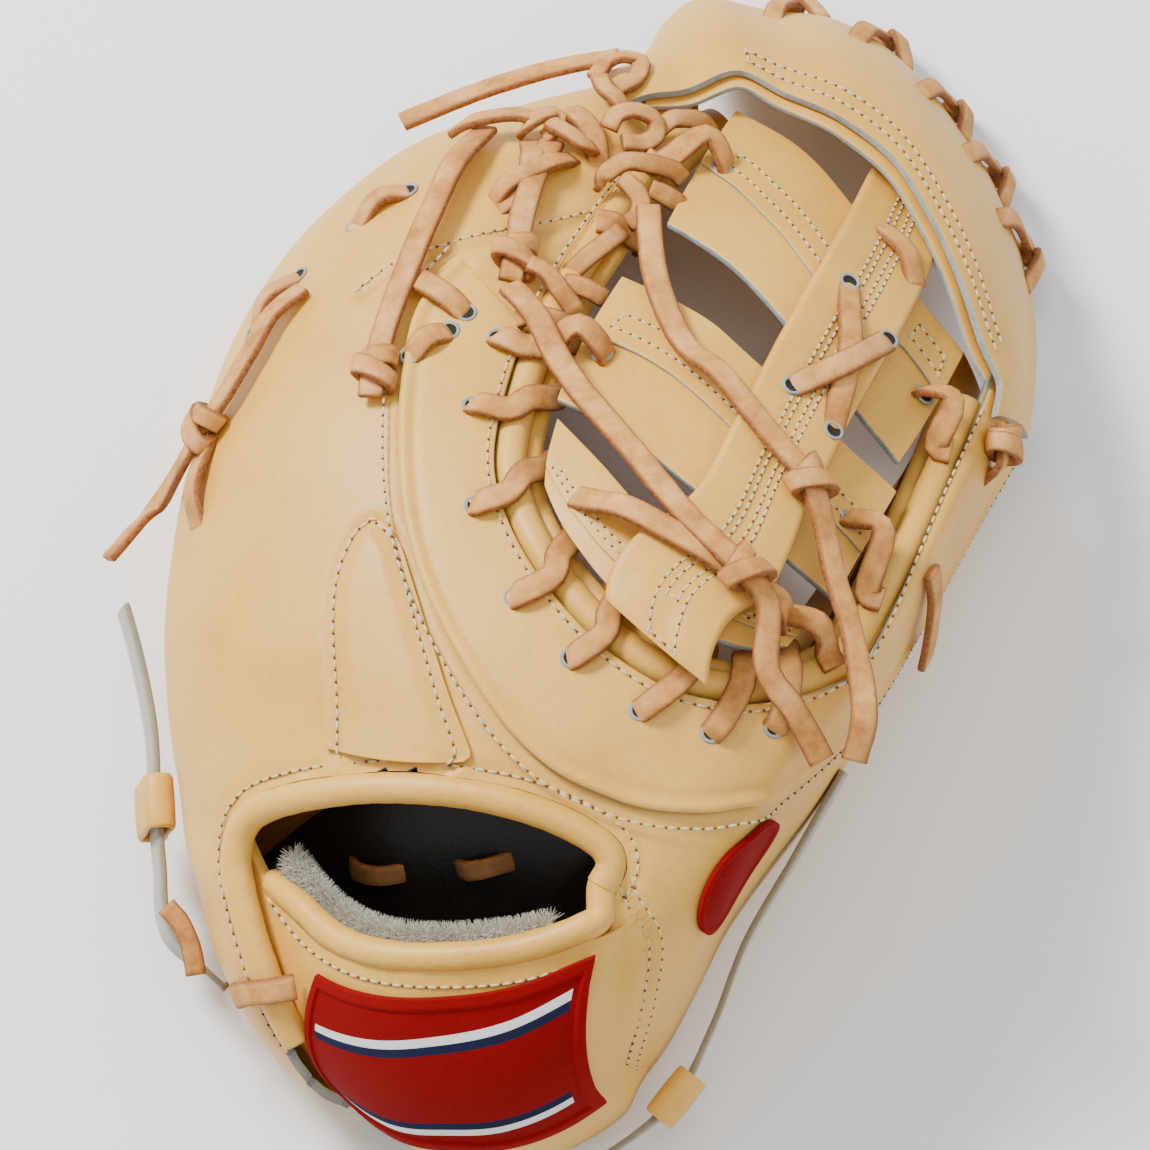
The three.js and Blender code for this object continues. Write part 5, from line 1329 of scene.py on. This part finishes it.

# Lace holes: a dark disc of painted shade in a ring of raw leather
eyes = [("body", a, b, panelTop) for a, b, _ in notchLaces]
eyes += [("body", 0.262, 0.168, panelTop), ("body", 0.238, 0.124, panelTop), ("body", 0.229, 0.262, 0),
         ("body", 0.224, 0.112, panelTop)]
eyes += [("body", 0.222, 0.444, 0), ("body", 0.197, 0.399, 0), ("body", 0.275, 0.560, 0),
         ("body", 0.249, 0.495, 0)]
eyes += [("web", row[1], row[2], thickness["bar"] / 2) for row in barLaces.values()]
eyes += [("web", r, x, overPost - laceGap) for r,
         x in ((0.854, 0.552), (0.717, 0.691), (0.722, 0.573), (0.845, 0.688))]
eyeSides = 20
eyeProfile = [(0.3, 0.10), (1.9, 0.10), (2.0, 0.28), (2.5, 0.30), (2.8, 0.05), (2.0, -0.5), (0.3, -0.5)]
turns = 2 * np.pi * np.arange(eyeSides) / eyeSides
points, polygons, kinds = [], [], []
for face, a, b, lift in eyes:
    centre, out = raised(face, np.float64(a), np.float64(b), lift), normalOn(face, np.float64(a),
        np.float64(b))
    first = unit(np.cross(out, [0.3, 1.0, 0.1]))
    second = np.cross(out, first)
    start = len(points)
    for radius, height in eyeProfile:
        around = np.cos(turns)[:, None] * first + np.sin(turns)[:, None] * second
        points += list(centre + out * height + radius * around)
    for k, polygon in enumerate(ringPolygons(len(eyeProfile), eyeSides)):
        polygons.append(tuple(reversed([start + p for p in polygon])))
        kinds.append(int(eyeSides <= k < eyeSides * (len(eyeProfile) - 1)))
makePiece("lace_holes", np.array(points), polygons, "hole", (), ("rawEdge",), kinds)


# Stitches, by Geometry Nodes along lines
def nodeTree(name, values):
    tree = bpy.data.node_groups.new(name, "GeometryNodeTree")
    for way in ("INPUT", "OUTPUT"):
        tree.interface.new_socket("Geometry", in_out=way, socket_type="NodeSocketGeometry")
    names = {}
    for key, value in values.items():
        socket = tree.interface.new_socket(key, in_out="INPUT", socket_type="NodeSocketFloat")
        socket.default_value = value
        names[key] = socket.identifier
    return tree, names, tree.nodes.new("NodeGroupInput").outputs, tree.nodes.new("NodeGroupOutput").inputs


def realCopies(tree, look, inputs):  # a shape placed on points, made real, in one look
    scatter = addNode(tree, "GeometryNodeInstanceOnPoints", inputs).outputs["Instances"]
    real = addNode(tree, "GeometryNodeRealizeInstances", {"Geometry": scatter}).outputs["Geometry"]
    coat = {"Geometry": real, "Material": looks[look]}
    return addNode(tree, "GeometryNodeSetMaterial", coat).outputs["Geometry"]


def stretched(tree, mesh, x, y, z):
    size = addNode(tree, "ShaderNodeCombineXYZ", {0: x, 1: y, 2: z}).outputs[0]
    return addNode(tree, "GeometryNodeTransform", {"Geometry": mesh, "Scale": size}).outputs["Geometry"]


def stitchTree():
    tree, names, source, result = nodeTree("stitches", {"Pitch": 0.003, "Length": 0.0024, "Thick": 0.0007})
    curve = addNode(tree, "GeometryNodeMeshToCurve", {"Mesh": source["Geometry"]}).outputs["Curve"]
    even = addNode(tree, "GeometryNodeResampleCurve", {
        "Curve": curve, "Length": mathNode(tree, "MULTIPLY", source["Pitch"], 0.5)}, mode="LENGTH")
    tangent = addNode(tree, "GeometryNodeInputTangent").outputs[0]
    turn = addNode(tree, "FunctionNodeAlignRotationToVector", {"Vector": tangent}, axis="X")
    odd = mathNode(tree, "MODULO", addNode(tree, "GeometryNodeInputIndex").outputs[0], 2)
    join = addNode(tree, "GeometryNodeJoinGeometry")
    thick = source["Thick"]
    # thread beads on every other point; between them small dark beads of painted shade where the thread
    # enters the leather
    for look, test, long in (("thread", "LESS_THAN", source["Length"]), ("prick", "GREATER_THAN", thick)):
        ball = addNode(tree, "GeometryNodeMeshUVSphere", {"Segments": 6, "Rings": 5, "Radius": 0.5})
        copies = realCopies(tree, look, {
            "Points": even.outputs["Curve"], "Selection": mathNode(tree, test, odd, 0.5),
            "Instance": stretched(tree, ball.outputs["Mesh"], long, thick, thick),
            "Rotation": turn.outputs["Rotation"]})
        tree.links.new(copies, join.inputs["Geometry"])
    tree.links.new(join.outputs["Geometry"], result["Geometry"])
    return tree, names


def grow(piece, tree, names, values):  # a node group's result becomes the piece's mesh
    modifier = piece.modifiers.new(tree.name, "NODES")
    modifier.node_group = tree
    for key, value in values.items():
        modifier[names[key]] = value
    settle(piece)


stitches, stitchNames = stitchTree()


def stitchPiece(name, lines, pitch=3.0, length=2.5, thick=0.75):
    points, edges = [], []
    for line in lines:
        edges += [(len(points) + i, len(points) + i + 1) for i in range(len(line) - 1)]
        points += list(line)
    mesh = bpy.data.meshes.new(name)
    mesh.from_pydata(toMetres(points).tolist(), edges, [])
    piece = newObject(name, mesh)
    grow(piece, stitches, stitchNames,
         {"Pitch": pitch / 1000, "Length": length / 1000, "Thick": thick / 1000})
    piece.data.polygons.foreach_set("use_smooth", np.full(len(piece.data.polygons), True))
    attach(piece, "root")
    return piece


def tableLine(face, table, u, v, lift):
    u, v = np.broadcast_arrays(np.asarray(u, float), np.asarray(v, float))
    a, b = between(table)(u, v)
    return raised(face, a, b, np.broadcast_to(lift, a.shape))


shares = np.linspace(0, 1, 120)
alongNotch = np.stack([np.linspace(0.05, 0.97, 260), np.full(260, 0.012)], -1)
stitchPiece("panel_stitches",
            [beside("body", panelSeam, -3.8, panelTop - 0.1), beside("body", panelSeam, 1.9, -0.45)])
stitchPiece("binding_stitches", [beside("body", alongNotch, 0.0, panelTop + 0.2)], 3.4, 2.8)
stitchPiece("back_stitches", [
    beside("body", padLine, -0.6, layerGap + thickness["pad"] - 0.2), beside("body", heelSeam, 0.0, -0.3),
    beside("body", heelSeam, 3.2, 0.2), beside("body", smoothRoute(openingSeam, 90), 2.6, -0.2),
    beside("body", tipSeam, 2.4, -0.1)])
strapRow = 0.06 + 0.84 * shares
stitchPiece("strap_stitches", [tableLine("body", strapTable, strapRow, 0.06, strapHeight(strapRow) + 0.1)])
barTop = thickness["bar"] / 2 + 0.05


def foldRow(name, u0, u1, inset, rows):  # two rows beside the fold's edge, closed at their ends
    lines = []
    for k in range(2):
        u = np.linspace(u0 + 0.012 * k, u1 - 0.012 * k, 110)
        v = foldAt(name, u) + inset + rows * k
        lines.append(tableLine("web", bars[name], u, v, barTop))
    for end in (0, -1):
        lines.append(np.linspace(lines[0][end], lines[1][end], 6))
    return lines


foldRows = [
    ("web_bar_upper", 0.07, 0.50, 0.10, 0.12), ("web_bar_upper", 0.80, 0.95, 0.09, 0.12),
    ("web_bar_lower", 0.05, 0.56, 0.10, 0.12), ("web_bar_lower", 0.82, 0.96, 0.09, 0.12),
    ("web_base", 0.05, 0.42, 0.12, 0.10), ("web_base", 0.75, 0.95, 0.12, 0.10),
]
stitchPiece("bar_stitches", [line for values in foldRows for line in foldRow(*values)], 2.7, 2.3)
postLines = []
for side in (-1, 1):
    for inset in (0.05, 0.12):
        u = 0.99 - (0.86 + inset) * shares
        v = np.full(120, 0.5 + side * inset)
        postLines.append(tableLine("web", postTable, u, v, postTop(u, v) - 0.05))
for first in (0, 1):
    postLines.append(np.linspace(postLines[first][-1], postLines[first + 2][-1], 14))
stitchPiece("post_stitches", postLines, 2.8, 2.4)
bandRow = np.linspace(0.30, 0.84, 160)
bandLines = [raised("band", bandRow, np.full(160, d), np.full(160, 0.0)) for d in (0.07, 0.145)]
bandLines.append(np.linspace(bandLines[0][0], bandLines[1][0], 6))
stitchPiece("band_stitches", bandLines, 2.9, 2.5)
print("stitches made")


# Fleece pile
def pileTree():
    tree, names, source, result = nodeTree("pile", {"Density": 2.0e6, "Length": 0.003, "Thick": 0.0005})
    scatter = addNode(tree, "GeometryNodeDistributePointsOnFaces", {
        "Seed": 5, "Mesh": source["Geometry"], "Density": source["Density"]})
    hair = addNode(tree, "GeometryNodeMeshCone", {
        "Vertices": 3, "Radius Top": 0.15, "Radius Bottom": 0.5, "Depth": 1.0}, fill_type="NONE")
    lean = addNode(tree, "FunctionNodeRandomValue", data_type="FLOAT_VECTOR")
    setInputs(tree, lean, {"Min": (-0.8, -0.8, -0.8), "Max": (0.8, 0.8, 0.8), "Seed": 9})
    way = addNode(tree, "ShaderNodeVectorMath", {
        0: scatter.outputs["Normal"], 1: lean.outputs["Value"]}, operation="ADD").outputs[0]
    turn = addNode(tree, "FunctionNodeAlignRotationToVector", {"Vector": way}, axis="Z")
    copies = realCopies(tree, "fleece", {
        "Points": scatter.outputs["Points"], "Rotation": turn.outputs["Rotation"],
        "Instance": stretched(tree, hair.outputs["Mesh"], source["Thick"], source["Thick"],
                              source["Length"])})
    tree.links.new(copies, result["Geometry"])
    return tree, names


pile, pileNames = pileTree()
pileMesh = fleece.data.copy()
upward = bmesh.new()
upward.from_mesh(pileMesh)
lower = [face for face in upward.faces if face.normal.z < 0.1]
bmesh.ops.delete(upward, geom=lower, context="FACES")
upward.to_mesh(pileMesh)
upward.free()
pilePiece = newObject("fleece_pile", pileMesh)
grow(pilePiece, pile, pileNames, {"Density": 1.25e7, "Length": 0.0034, "Thick": 0.00026})
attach(pilePiece, "root")
print("pile faces", len(pilePiece.data.polygons))

# Floor and light
floorMesh = bpy.data.meshes.new("floor")
floorMesh.from_pydata([(-3, -3, 0), (3, -3, 0), (3, 3, 0), (-3, 3, 0)], [], [(0, 1, 2, 3)])
floorMesh.materials.append(newMaterial("paleFloor", 0.9, {"Base Color": (0.90, 0.90, 0.90)})[0])
floor = newObject("floor", floorMesh)
world = bpy.data.worlds.new("studio")
world.use_nodes = True
setInputs(world.node_tree, world.node_tree.nodes["Background"], {"Color": (1, 1, 1), "Strength": 0.70})
bpy.context.scene.world = world
lampAim = Vector((0, 0, 0.05))
lamps = {
    "key": {"at": (-0.75, 0.65, 1.1), "size": 0.4, "power": 36},
    "fill": {"at": (0.9, -0.5, 1.2), "size": 1.2, "power": 5},
    "top": {"at": (0.1, 0.0, 1.7), "size": 1.0, "power": 8},
}
for name, values in lamps.items():
    data = bpy.data.lights.new(name, "AREA")
    data.size, data.energy = values["size"], values["power"]
    lamp = newObject(name, data)
    lamp.location = values["at"]
    lamp.rotation_euler = (lampAim - Vector(values["at"])).to_track_quat("-Z", "Y").to_euler()
